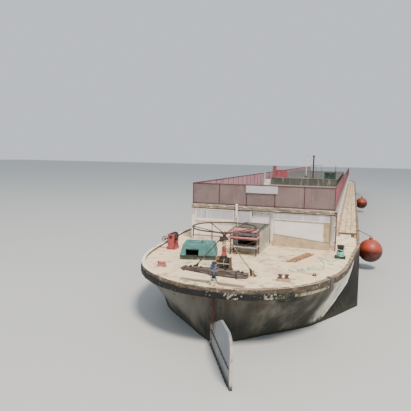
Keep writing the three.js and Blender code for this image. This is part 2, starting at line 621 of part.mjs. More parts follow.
function tapered(wide, deep, rise, slope) {
  const foot = [[-wide / 2, -deep / 2], [wide / 2, -deep / 2], [wide / 2, deep / 2], [-wide / 2, deep / 2]];
  const narrow = 1 - 2 * slope / wide;
  const shape = prism(foot, 0, rise);
  const places = shape.attributes.position;
  for (let i = 0; i < places.count; i += 1) {
    if (places.getZ(i) > rise / 2) {
      places.setX(i, places.getX(i) * narrow);
      places.setY(i, places.getY(i) * narrow);
    }
  }
  return shape;
}

function hatch() {
  const { x, y, wide, deep, rise, base, turn } = HATCH;
  const place = (shape) => shape.rotateZ(rad(turn)).translate(x, y, 0);
  const frame = box(5 - wide / 2, wide / 2 - 5, 5 - deep / 2, deep / 2 - 5, DECK_EDGE_Z - 20, base - GAP);
  const hole = box(-wide / 2 + 45, wide / 2 - 45, -deep / 2 + 45, deep / 2 - 45, DECK_EDGE_Z - 50, base + 50);
  part('hatch_coaming', onDeck(cut(place(frame), place(hole))), TEAL_PAINT);
  const shell = cut(
    tapered(wide, deep, rise, 45).translate(0, 0, base),
    tapered(wide - 30, deep - 30, rise - 15, 42).translate(0, 0, base - GAP),
    box(-wide / 2 + 110, -wide / 2 + 330, -deep / 2 - 50, -deep / 2 + 80, base - 5, base + 105),
  );
  part('hatch_hood', place(shell), TEAL_PAINT);
}

// Winch at the port edge of the deck
const WINCH = { x: -1490, y: WALL_Y - 1080, axis: 1790, drum: 78, half: 75, pin: 14 };

function winch() {
  const { x, y, axis, drum, half, pin } = WINCH;
  const cheek = (y0, y1) => box(x - 70, x + 70, y0, y1, DECK_EDGE_Z - 20, axis + 60);
  part('winch_frame', cut(onDeck(
    box(x - 85, x + 85, y - half - 40, y + half + 40, DECK_EDGE_Z - 20, 1600),
    cheek(y - half - 35, y - half - 20),
    cheek(y + half + 20, y + half + 35),
  ), rod([x, y - 200, axis], [x, y + 200, axis], bearing(pin), BEARING_SIDES)), RUSTY_STEEL);
  part('winch_drum', join(
    rod([x, y - half - 50, axis], [x, y + half + 50, axis], pin, BEARING_SIDES),
    rod([x, y - half, axis], [x, y + half, axis], 55, 14),
    rod([x, y - half - 8, axis], [x, y - half + 6, axis], drum, 14),
    rod([x, y + half - 6, axis], [x, y + half + 8, axis], drum, 14),
    box(x - 6, x + 60, y + half + 44, y + half + 56, axis - 6, axis + 6),
  ), RED_BOARD);
}

// Mooring points
function mooringPoints() {
  const low = DECK_EDGE_Z - 20;
  const post = (x, y, radius, z1) => rod([x, y, low], [x, y, z1], radius, 12);
  const [sx, sy] = [1640, WALL_Y - 600];
  part('starboard_bollard', onDeck(
    box(sx - 95, sx + 95, sy - 95, sy + 95, low, 1580),
    post(sx, sy, 55, 1760),
    rod([sx, sy, 1750], [sx, sy, 1785], 68, 12),
    rod([sx, sy - 110, 1690], [sx, sy + 110, 1690], 16, 8),
  ), DARK_STEEL);
  const spools = [[850, WALL_Y - 2550], [942, WALL_Y - 2525]];
  const spool = ([x, y]) => [post(x, y, 25, 1645), rod([x, y, 1635], [x, y, 1652], 38, 12)];
  part('starboard_bitts', onDeck(
    box(795, 1000, WALL_Y - 2590, WALL_Y - 2485, low, 1592),
    ...spools.flatMap(spool),
  ), RUSTY_STEEL);
  const [px, py] = [-1105, WALL_Y - 2440];
  part('port_bollard', onDeck(
    box(px - 70, px + 70, py - 45, py + 45, low, 1572),
    post(px - 20, py, 24, 1610),
    rod([px - 75, py, 1612], [px + 65, py, 1612], 22, 8),
  ), RED_BOARD);
  const bow = FORE_WALL_Y + 3300;
  part('bow_bitts', onDeck(
    box(-260, 260, bow - 90, bow + 90, low, 1604),
    post(-150, bow, 50, 1850),
    post(150, bow, 50, 1850),
    rod([-270, bow, 1760], [270, bow, 1760], 24, 10),
  ), DARK_STEEL);
}

// Anchor windlass on the foredeck
const WINDLASS = { y: FORE_WALL_Y + 2200, axis: 1850, drum: 130, half: 170, pin: 20 };

function windlass() {
  const { y, axis, drum, half, pin } = WINDLASS;
  const cheek = (x) => box(x - 12, x + 12, y - 130, y + 130, DECK_EDGE_Z - 20, axis + 70);
  part('windlass_frame', cut(onDeck(
    box(-half - 90, half + 90, y - 170, y + 170, DECK_EDGE_Z - 20, 1610),
    cheek(-half - 50),
    cheek(half + 50),
  ), rod([-400, y, axis], [400, y, axis], bearing(pin), BEARING_SIDES)), DARK_STEEL);
  part('windlass_drum', join(
    rod([-half - 190, y, axis], [half + 190, y, axis], pin, BEARING_SIDES),
    rod([-half, y, axis], [half, y, axis], 80, 16),
    rod([-half - 10, y, axis], [-half + 8, y, axis], drum, 16),
    rod([half - 8, y, axis], [half + 10, y, axis], drum, 16),
    rod([-half - 180, y, axis], [-half - 90, y, axis], 60, 12),
    rod([half + 90, y, axis], [half + 180, y, axis], 60, 12),
  ), RUSTY_STEEL);
}

// Pipes and sign on the stern wall
function sternFittings() {
  const face = WALL_Y - 18;
  part('sign_board', box(-305, 355, WALL_Y - 22, WALL_Y - 9 - GAP, ROOF_TOP + 286, ROOF_TOP + 436), WHITE_PAINT);
  const x = HOUSE_HALF + 25;
  part('downpipe', onDeck(
    rod([x, WALL_Y - 45, DECK_EDGE_Z], [x, WALL_Y - 45, ROOF_TOP - 20], 14, 10),
    box(x - 14, x + 14, WALL_Y - 46, WALL_Y - 20.3, ROOF_TOP - 130, ROOF_TOP - 100),
  ), RUSTY_STEEL);
  const vent = [-490, face - 30];
  part('vent_pole', onDeck(
    rod([...vent, DECK_EDGE_Z], [...vent, 2110], 17, 10),
    rod([...vent, 2100], [...vent, 2368], 25, 10),
    box(vent[0] - 12, vent[0] + 12, face - 32, WALL_Y - GAP, 2000, 2030),
  ), WHITE_PAINT);
}

// Boards laid on bearers along the starboard side deck
const WALKWAY = { x0: 1545, x1: 1930, from: WALL_Y + 1700, to: FORE_WALL_Y - 300, top: 1650, thick: 22, boards: 3,
  slot: 8, pitch: 1500 };

function walkway() {
  const { x0, x1, from, to, top, thick, boards, slot, pitch } = WALKWAY;
  const wide = (x1 - x0 - slot * (boards - 1)) / boards;
  const pieces = [box(x0 - 5, x1 + 5, from - 10, from + 12, top - thick - 6, top + 3)];
  for (let i = 0; i < boards; i += 1) {
    const x = x0 + i * (wide + slot);
    pieces.push(box(x, x + wide, from, to, top - thick, top));
  }
  for (let y = from + 6; y < to; y += pitch) {
    pieces.push(box(x0 + 15, x1 - 115, y, y + 90, DECK_EDGE_Z, top - thick + 4));
  }
  part('walkway_boards', onDeck(...pieces), PALE_PLANK);
}

// Mooring rope that lies in two heaps between the starboard bollard and the rim. It starts at
// the bollard's base plate, and its height follows the deck.
const ROPE = { radius: 7.5, steps: 78, sides: 8 };
const ROPE_ROUTE = [
  [1608, -14428], [1608, -14478], [1588, -14545], [1568, -14610], [1548, -14668], [1497, -14708],
  [1443, -14678], [1422, -14632], [1370, -14598], [1320, -14633], [1318, -14690], [1340, -14755],
  [1372, -14830], [1395, -14920], [1398, -15020], [1392, -15120], [1402, -15215], [1402, -15305],
  [1354, -15366], [1288, -15370], [1235, -15333], [1172, -15343], [1160, -15405], [1208, -15457],
  [1197, -15518], [1137, -15532], [1079, -15487], [1016, -15498], [1004, -15560], [1052, -15612],
  [1041, -15673], [981, -15687], [922, -15640], [880, -15603],
];

function deckRope() {
  const { radius, steps, sides } = ROPE;
  const route = ROPE_ROUTE.map(([x, y]) => new THREE.Vector3(x, y, deckZ(x) + radius + GAP));
  const section = new THREE.Shape();
  for (let i = 0; i < sides; i += 1) {
    const angle = 2 * Math.PI * i / sides;
    section[i ? 'lineTo' : 'moveTo'](radius * Math.cos(angle), radius * Math.sin(angle));
  }
  const extrudePath = new THREE.CatmullRomCurve3(route, false, 'centripetal');
  part('deck_rope', new THREE.ExtrudeGeometry(section, { steps, extrudePath, bevelEnabled: false }), TEAL_ROPE);
}

// Round fenders hung at the sides on short lanyards from the deck's edge
const FENDER = { radius: 285, drop: 360 };

function fenders() {
  const places = [{ name: 'starboard_fender_aft', side: 1, y: WALL_Y + 2450 },
    { name: 'starboard_fender_fore', side: 1, y: WALL_Y + 15000 },
    { name: 'port_fender_aft', side: -1, y: WALL_Y + 2450 },
    { name: 'port_fender_fore', side: -1, y: WALL_Y + 15000 }];
  const { radius, drop } = FENDER;
  for (const { name, side, y } of places) {
    const x = side * (HALF_BEAM + radius + 4);
    const z = UNDER_DECK - drop;
    const ledge = DECK_EDGE_Z + KERB.rise + GAP;
    part(name, join(
      new THREE.SphereGeometry(radius, 16, 10).rotateX(Math.PI / 2).translate(x, y, z),
      rod([x, y, z + radius - 20], [x, y, z + radius + 40], 40, 10),
      rod([x, y, z + radius + 20], [side * (HALF_BEAM + 12), y, ledge + 8], 10, 8),
      box(Math.min(side * (HALF_BEAM + 20), side * (HALF_BEAM - 80)),
        Math.max(side * (HALF_BEAM + 20), side * (HALF_BEAM - 80)), y - 10, y + 10, ledge, ledge + 20),
    ), ORANGE_RUBBER);
  }
}

barge.name = 'river_barge';
part('hull', cut(loft(LEVELS), stockHole()), CONCRETE);
decks();
strake();
sternWall();
sideWalls();
foreWall();
doors();
roofs();
roofGear();
mast();
railings();
steeringWheel();
steeringColumn();
stays();
rudder();
stockGland();
companionway();
bench();
hatch();
winch();
mooringPoints();
windlass();
sternFittings();
walkway();
deckRope();
fenders();

export default barge;
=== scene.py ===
"""River barge of reinforced concrete, 1:2 scale model: the finish of every surface, in metres.

X points to starboard, Y forward to the bow, Z up. The barge floats at WATERLINE, where the floor is.
"""

import json
import random
from math import atan2, copysign, cos, exp, pi, radians, sin

import bmesh
import bpy
from mathutils import Matrix, Vector, noise


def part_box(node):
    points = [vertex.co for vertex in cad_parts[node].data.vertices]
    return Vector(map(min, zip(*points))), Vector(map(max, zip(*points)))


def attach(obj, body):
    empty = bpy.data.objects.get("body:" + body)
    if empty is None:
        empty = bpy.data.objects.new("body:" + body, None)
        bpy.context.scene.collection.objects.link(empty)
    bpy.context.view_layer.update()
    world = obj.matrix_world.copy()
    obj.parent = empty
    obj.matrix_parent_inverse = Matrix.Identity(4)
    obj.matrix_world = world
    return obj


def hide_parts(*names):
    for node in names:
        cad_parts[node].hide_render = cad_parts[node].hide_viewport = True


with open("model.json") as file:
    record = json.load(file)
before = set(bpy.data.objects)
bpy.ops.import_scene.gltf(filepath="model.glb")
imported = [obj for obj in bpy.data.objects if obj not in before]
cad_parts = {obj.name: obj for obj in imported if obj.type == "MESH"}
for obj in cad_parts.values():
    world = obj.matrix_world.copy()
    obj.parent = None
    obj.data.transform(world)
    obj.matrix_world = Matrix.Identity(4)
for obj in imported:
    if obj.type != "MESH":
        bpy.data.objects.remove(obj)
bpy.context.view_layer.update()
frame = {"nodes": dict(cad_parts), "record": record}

# Driving places, taken from the frame
WATERLINE = 0.65
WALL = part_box("terrace_roof")[0].y + 0.02
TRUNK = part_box("roof_trunk")[0].y
FORE_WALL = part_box("fore_wall")[1].y
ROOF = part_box("terrace_roof")[1].z
TRUNK_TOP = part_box("roof_trunk")[1].z
HOUSE_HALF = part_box("stern_wall")[1].x
HALF_BEAM = 2.0
DECK_EDGE = 1.54
DECK_CAMBER = 0.015
KERB_TOP = 1.59
STOCK = Vector((0.0, WALL - 3.1, 0.0))
RUDDER_ANGLE = radians(28)
BEAM_ANGLE = radians(-4)
RIVET_ROWS = (0.653, 0.893)


def deck_z(x):
    return DECK_EDGE + DECK_CAMBER * (1 - (x / HALF_BEAM) ** 2)


# Camera: fitted to the straight edges of the house, roof and railing
EYE = Vector((1.778, -22.485, 3.3355))
LENS = 37.68
YAW, PITCH, ROLL = 0.3277, 0.111, 0.0189


def set_camera():
    forward = Vector((-sin(YAW) * cos(PITCH), cos(YAW) * cos(PITCH), -sin(PITCH)))
    level = Vector((cos(YAW), sin(YAW), 0))
    above = level.cross(forward)
    right = level * cos(ROLL) + above * sin(ROLL)
    up = above * cos(ROLL) - level * sin(ROLL)
    camera = bpy.data.objects.new("camera", bpy.data.cameras.new("camera"))
    bpy.context.scene.collection.objects.link(camera)
    camera.data.lens = LENS
    camera.data.sensor_width = 36
    camera.data.clip_end = 400
    turn = Matrix((right, up, -forward)).transposed().to_4x4()
    camera.matrix_world = Matrix.Translation(EYE) @ turn
    bpy.context.scene.camera = camera


set_camera()


# Materials

NOISE_SPREAD = 0.42  # the noise hardly leaves this width about its middle
EVEN = (1, 1, 1)
STREAKS = (1, 1, 0.14)
ALONG = (1, 0.12, 1)


def colour(tone):
    """An sRGB hex colour as the linear values that a shader takes. A node's colour stays as it is."""
    if not isinstance(tone, str):
        return tone
    values = [int(tone[i:i + 2], 16) / 255 for i in (1, 3, 5)]
    return [v / 12.92 if v <= 0.04045 else ((v + 0.055) / 1.055) ** 2.4 for v in values] + [1.0]


class Coat:
    """A material: layers of colour, each where its masks are 1, and relief of a real depth."""

    def __init__(self, name, roughness, metallic=0.0):
        self.material = bpy.data.materials.new(name)
        self.material.use_nodes = True
        self.tree = self.material.node_tree
        self.shader = self.tree.nodes["Principled BSDF"]
        self.shader.inputs["Roughness"].default_value = roughness
        self.shader.inputs["Metallic"].default_value = metallic
        if not metallic:
            self.shader.inputs["IOR"].default_value = 1.5
        self.place = self.add("ShaderNodeTexCoord").outputs["Object"]
        self.normal = None

    def add(self, kind, inputs=(), **settings):
        """A node with its settings, values and links."""
        node = self.tree.nodes.new(kind)
        for key, value in settings.items():
            setattr(node, key, value)
        for key, value in dict(inputs).items():
            if isinstance(value, bpy.types.NodeSocket):
                self.tree.links.new(value, node.inputs[key])
            else:
                node.inputs[key].default_value = value
        return node

    def band(self, axis, start, end, of=None):
        """A mask that rises from 0 to 1 between two places on an axis, or two values of a mask."""
        value = self.place if of is None else of
        if axis:
            value = self.add("ShaderNodeSeparateXYZ", {0: value}).outputs[axis]
        return self.add("ShaderNodeMapRange", {"Value": value, "From Min": start, "From Max": end},
                        interpolation_type="SMOOTHSTEP").outputs[0]

    def patches(self, across, share, soft=0.08, stretch=EVEN, shift=0.0):
        """A mask of patches that are `across` millimetres wide and cover about `share` of the surface."""
        moved = self.add("ShaderNodeMapping", {
            "Vector": self.place, "Scale": stretch, "Location": [shift] * 3})
        spots = self.add("ShaderNodeTexNoise", {"Vector": moved.outputs[0], "Scale": 1000 / across,
                                                "Detail": 6, "Roughness": 0.6})
        edge = 0.5 + (0.5 - share) * NOISE_SPREAD
        return self.band(None, edge - soft, edge + soft, spots.outputs[0])

    def over(self, shade, *layers):
        """A colour with layers on it, each a colour and its masks."""
        for tone, mask, *others in layers:
            for other in others:
                mask = self.add("ShaderNodeMath", {0: mask, 1: other}, operation="MULTIPLY").outputs[0]
            shade = self.add("ShaderNodeMix", {0: mask, 6: colour(shade), 7: colour(tone)},
                             data_type="RGBA").outputs[2]
        return shade

    def relief(self, height, depth, strength=0.6):
        """Bump of a real depth in millimetres, from a mask or a noise's scale, detail and roughness."""
        if isinstance(height, tuple):
            values = dict(zip(("Scale", "Detail", "Roughness"), height))
            height = self.add("ShaderNodeTexNoise", {"Vector": self.place, **values}).outputs[0]
        values = {"Height": height, "Distance": depth / 1000, "Strength": strength}
        if self.normal is not None:
            values["Normal"] = self.normal
        self.normal = self.add("ShaderNodeBump", values).outputs[0]

    def done(self, shade):
        self.tree.links.new(shade, self.shader.inputs["Base Color"])
        if self.normal is not None:
            self.tree.links.new(self.normal, self.shader.inputs["Normal"])
        return self.material


def coat(name, base, layers, roughness, grain, depth, metallic=0.0):
    """A worn coat; its layers are a colour, the patches' millimetres, their share, softness and stretch."""
    paint = Coat(name, roughness, metallic)
    paint.relief((1000 / grain, 5), depth)
    return paint.done(paint.over(base, *[(tone, paint.patches(*spots, shift=1.7 * i))
                                         for i, (tone, *spots) in enumerate(layers)]))


# The crease between the counter and the hull's side runs forward as it rises from the water
CREASE_TOP = 1.43
CREASE_START = 0.215
CREASE_SWEEP = 1.485
CREASE_BEND = 1.4


def past_crease(hull):
    """Distance forward of the crease, in metres; it's negative on the counter."""
    split = hull.add("ShaderNodeSeparateXYZ", {0: hull.place})
    below = hull.add("ShaderNodeMapRange", {"Value": split.outputs["Z"], "From Min": CREASE_TOP,
                                            "From Max": WATERLINE})
    curve = hull.add("ShaderNodeMath", {0: below.outputs[0], 1: CREASE_BEND}, operation="POWER")
    reach = hull.add("ShaderNodeMath", {0: curve.outputs[0], 1: CREASE_SWEEP, 2: CREASE_START - WALL},
                     operation="MULTIPLY_ADD")
    past = hull.add("ShaderNodeMath", {0: split.outputs["Y"], 1: reach.outputs[0]}, operation="ADD")
    return past.outputs[0]


def cast_concrete():
    """Hull of cast concrete, sealed, long afloat: chalky, streaked from the deck, green at the water."""
    hull = Coat("cast_concrete_hull", 0.85)
    patches, band = hull.patches, hull.band
    past = past_crease(hull)
    height = hull.add("ShaderNodeSeparateXYZ", {0: hull.place}).outputs["Z"]
    wide = hull.add("ShaderNodeMapRange", {"Value": height, "From Min": WATERLINE, "From Max": CREASE_TOP,
                                           "To Min": 0.25, "To Max": 1.85})
    wedge = hull.add("ShaderNodeMath", {0: past, 1: wide.outputs[0]}, operation="ADD").outputs[0]
    # The hull's side past the crease, near black: painted shade
    side = hull.over("#0d0c0d", ("#080808", patches(260, 0.45, 0.2, STREAKS, 9)),
                     ("#2b2725", patches(90, 0.16, 0.06, STREAKS, 6)))
    chalk = hull.over("#d2c7a4", ("#9b8c70", patches(60, 0.35, 0.06, shift=3)))
    # The counter's dark base colours are painted shade
    shade = hull.over(
        "#4a4842", ("#57554c", patches(1100, 0.5, 0.25)),
        ("#493f34", patches(900, 0.6, 0.25, (0.5, 1, 1), 4), band("Z", 0.95, 1.25)),
        # Painted reflected light: the counter lighter to port
        ("#74766f", band("X", 0.05, -0.6), patches(700, 0.8, 0.3, shift=33)),
        # Painted shade: the counter darker low down and to starboard
        ("#10120f", band("Z", 1.16, 0.84), patches(900, 0.95, 0.45, shift=1)),
        ("#34332e", band("X", 0.2, 1.2), band("Z", 1.44, 1.24)),
        ("#787468", patches(300, 0.3, 0.2, (1, 1, 0.35), 5)),
        ("#3c382f", patches(60, 0.14, 0.05, (1, 1, 0.3), 2)),
        # Painted shade: the near black side laid on past the crease
        (side, band(None, -0.01, 0.02, past)),
        # The sunlit wedge of the counter as painted sunlight, a painted highlight along the crease, and
        # rust under the deck
        ("#e6e1d3", band(None, -0.05, 0.2, wedge), band(None, 0.06, 0.02, past), band("X", 0.9, 1.1),
         patches(220, 0.9, 0.2, (1, 1, 0.4))),
        ("#f7f3e8", band(None, -0.07, -0.03, past), band(None, 0.06, 0.03, past), patches(120, 0.8, 0.1)),
        ("#5f4533", patches(120, 0.25, 0.05, STREAKS, 7), band("Z", 1.15, 1.42)),
        # Bare concrete above the strake's end, weed at the water, and the stain under the strake's end
        (chalk, band("Z", 1.412, 1.425), band("X", 1.08, 1.12), band(None, 0.0, -0.1, past)),
        ("#34372a", patches(90, 0.5, 0.2, (1, 1, 0.5), 2), band("Z", 0.95, 0.66)),
        ("#20261b", band("X", 0.8, 0.92), band("X", 1.24, 1.14), band("Z", 1.27, 1.36),
         band(None, 0.0, -0.1, past), patches(110, 0.62, 0.12, shift=27)),
        ("#33342a", band("Z", 0.75, 0.67)))
    hull.relief((2.2, 4), 18, 0.5)
    hull.relief((60, 8, 0.7), 3, 0.7)
    return hull.done(shade)


def screeded_deck():
    """Deck of screeded concrete under a cream coat: matt, cracked, stained, dirty at the rim."""
    deck = Coat("screeded_deck", 0.88)
    patches, band = deck.patches, deck.band
    cells = deck.add("ShaderNodeTexVoronoi", {"Vector": deck.place, "Scale": 2.6},
                     feature="DISTANCE_TO_EDGE").outputs[0]
    crack = deck.add("ShaderNodeMapRange", {"Value": cells, "From Min": 0.012, "From Max": 0.0})
    broken = deck.add("ShaderNodeMath", {0: crack.outputs[0], 1: patches(500, 0.4, 0.1, shift=11)},
                      operation="MULTIPLY").outputs[0]
    upward = deck.add("ShaderNodeNewGeometry").outputs["True Normal"]
    rim = deck.over("#786c5c", ("#493f36", patches(130, 0.5, 0.12, (1, 1, 2.5), 15)),
                    ("#4f4036", patches(50, 0.26, 0.05, shift=17)),
                    ("#cabda6", patches(40, 0.16, 0.05, shift=19)),
                    ("#433a31", band("X", 0.3, 1.1), patches(150, 0.6, 0.12, (1, 1, 2), 23)))
    kerb = band("Z", KERB_TOP - 0.0005, KERB_TOP - 0.0001)
    shade = deck.over(
        "#fff0d0", ("#f5deb5", patches(700, 0.5, 0.2)), ("#dcc0a2", patches(330, 0.3, 0.1, shift=4)),
        ("#b09c7c", patches(150, 0.27, 0.07, shift=6)), ("#efe6d4", patches(60, 0.2, 0.05, shift=8)),
        ("#7a6d59", broken), ("#6a5747", patches(38, 0.08, 0.03, shift=13)),
        (rim, band("Z", 0.6, 0.3, upward), band("Z", 1.592, 1.583)),
        ("#85775f", kerb, patches(120, 0.45, 0.1, shift=25)),
        ("#6f6352", kerb, band("X", 0.1, 0.7), patches(90, 0.7, 0.12, shift=29)),
        ("#efe9df", band("Z", 1.583, 1.588), band("X", -0.9, -1.1), patches(110, 0.78, 0.08, shift=21)))
    deck.relief((35, 8, 0.65), 4, 0.6)
    deck.relief(deck.add("ShaderNodeMath", {0: 1.0, 1: broken}, operation="SUBTRACT").outputs[0], 3, 0.6)
    return deck.done(shade)


def tarred_strake():
    """Strake of tarred belting: black and dull, torn off in pale flakes, greener to starboard."""
    skin = Coat("tarred_strake", 0.7)
    patches = skin.patches
    torn = skin.add("ShaderNodeAttribute", attribute_name="torn").outputs["Fac"]
    flake = skin.over("#a7a596", ("#6c6a5e", patches(30, 0.5, 0.1, shift=9)))
    skin.relief((60, 6, 0.7), 4, 0.8)
    return skin.done(skin.over(
        "#0c0c0d", ("#171617", patches(200, 0.4, 0.15)), ("#393633", patches(70, 0.16, 0.05, (1, 1, 2), 5)),
        ("#3a3f2c", patches(120, 0.5, 0.1, shift=8), skin.band("X", 0.6, 1.0)),
        (flake, skin.band(None, 0.35, 0.6, torn))))


def painted_render():
    """Wall of painted cement render: chalky off-white, streaked by rain, brown where the paint is off."""
    wall = Coat("painted_render", 0.85)
    patches = wall.patches
    wall.relief((80, 6), 1.5)
    return wall.done(wall.over(
        "#f7f2ee", ("#e9e3df", patches(600, 0.5, 0.2)), ("#bcb6b5", wall.band("Z", 2.06, 2.14)),
        ("#b0a8a2", patches(140, 0.26, 0.1, STREAKS, 3)),
        ("#93836f", patches(50, 0.1, 0.03, (1, 1, 0.6), 6)),
        ("#b3a389", wall.band("Z", 1.7, 1.55), patches(160, 0.6, 0.2, shift=9))))


def roof_felt():
    """Roof of grey mineral felt: dull and gritty, with a seam every metre, stained at its edge."""
    felt = Coat("mineral_roof_felt", 0.9)
    patches = felt.patches
    edge = felt.over("#c9bda6", ("#6d5a47", patches(90, 0.35, 0.04, (0.3, 1, 2), 6)))
    seams = felt.add("ShaderNodeTexWave", {"Vector": felt.place, "Scale": 0.314, "Distortion": 0.3},
                     bands_direction="Y", wave_profile="SAW")
    felt.relief(seams.outputs[1], 3, 0.3)
    felt.relief((180, 3), 1, 0.5)
    return felt.done(felt.over(
        "#97918b", ("#84807b", patches(800, 0.5, 0.2)), ("#a59a8c", patches(220, 0.3, 0.1, shift=3)),
        (edge, felt.band("Y", WALL + 0.02, WALL - 0.005))))


def perforated_sheet():
    """Railing infill of perforated steel sheet under old maroon paint, seen through about half.

    Its real holes are 5 mm apart, too fine to show, so they are drawn 24 mm apart. Its light pink along the
    sides is partly painted sunlight; at the stern it is greyer.
    """
    sheet = Coat("perforated_sheet", 0.6, 0.2)
    patches = sheet.patches
    grey = sheet.over("#92807f", ("#806e70", patches(400, 0.5, 0.2)))
    holes = sheet.add("ShaderNodeTexVoronoi", {"Vector": sheet.place, "Scale": 42, "Randomness": 0.0})
    solid = sheet.add("ShaderNodeMapRange", {"Value": holes.outputs[0], "From Min": 0.38,
                                             "From Max": 0.46, "To Min": 0.12, "To Max": 0.9})
    sheet.tree.links.new(solid.outputs[0], sheet.shader.inputs["Alpha"])
    return sheet.done(sheet.over(
        # Partly painted light: the light pink stands for the sunlit sides, the stern part is greyer
        "#deb0bd", ("#d099a6", patches(500, 0.5, 0.2)), ("#cc6672", sheet.band("X", 1.2, 1.4)),
        (grey, sheet.band("Y", WALL + 0.1, WALL + 0.03)), ("#a88a88", patches(90, 0.2, 0.1, STREAKS, 4))))


def rudder_plate():
    """Rudder plate under pale grey paint: chalky, rusting at its fore top corner, bare and bright aft."""
    plate = Coat("rudder_plate", 0.6, 0.2)
    patches = plate.patches
    amidships = Matrix.Rotation(-RUDDER_ANGLE, 3, "Z")
    own = plate.add("ShaderNodeMapping", {"Vector": plate.place, "Rotation": (0, 0, -RUDDER_ANGLE),
                                          "Location": amidships @ -STOCK}).outputs[0]

    def on_plate(axis, start, end):
        return plate.band(axis, start, end, own)

    straps = [("#3f3a3b", on_plate("Z", z - 0.014, z - 0.012), on_plate("Z", z + 0.014, z + 0.012))
              for z in RIVET_ROWS]
    plate.relief((50, 6), 1.2)
    return plate.done(plate.over(
        "#7b8087", ("#92979b", patches(260, 0.5, 0.2, (1, 1, 0.4))),
        ("#6f6a68", patches(70, 0.14, 0.05, STREAKS, 4)),
        ("#c8c9c6", patches(40, 0.1, 0.03, STREAKS, 6)),
        ("#65463a", on_plate("Y", -0.34, -0.05), on_plate("Z", 0.82, 1.02), patches(90, 0.8, 0.1, shift=8)),
        ("#7f7266", on_plate("Y", -0.085, -0.05)), *straps,
        ("#26272a", on_plate("Y", -0.45, -1.1), on_plate("Z", 0.8, 0.68),
         patches(120, 0.7, 0.15, shift=12)),
        ("#c9c1b1", on_plate("Y", -1.195, -1.215), patches(60, 0.8, 0.08, shift=10)),
        ("#3c3f38", plate.band("Z", 0.76, 0.66))))


def moulded_vinyl():
    """Fenders of moulded orange red vinyl: sun dulled on top, painted near black on their lower half as
    shade.
    """
    vinyl = Coat("orange_red_vinyl", 0.45)
    patches = vinyl.patches
    vinyl.relief((16, 5), 1.0)
    return vinyl.done(vinyl.over(
        "#b04a33", ("#96402d", patches(200, 0.45, 0.2)), ("#7a3d31", patches(90, 0.2, 0.08, STREAKS, 4)),
        # Painted shade: the lower half near black
        ("#2e0e0a", vinyl.band("Z", 1.26, 1.1), patches(160, 1.0, 0.3, shift=7))))


def laid_fibre(name, light, dark):
    """Mooring rope of laid synthetic fibre: matt, sun bleached, darker between its strands."""
    return coat(name, light, [(dark, 60, 0.45, 0.12), ("#d6eee6", 25, 0.18)], 0.75, 4, 1.5)


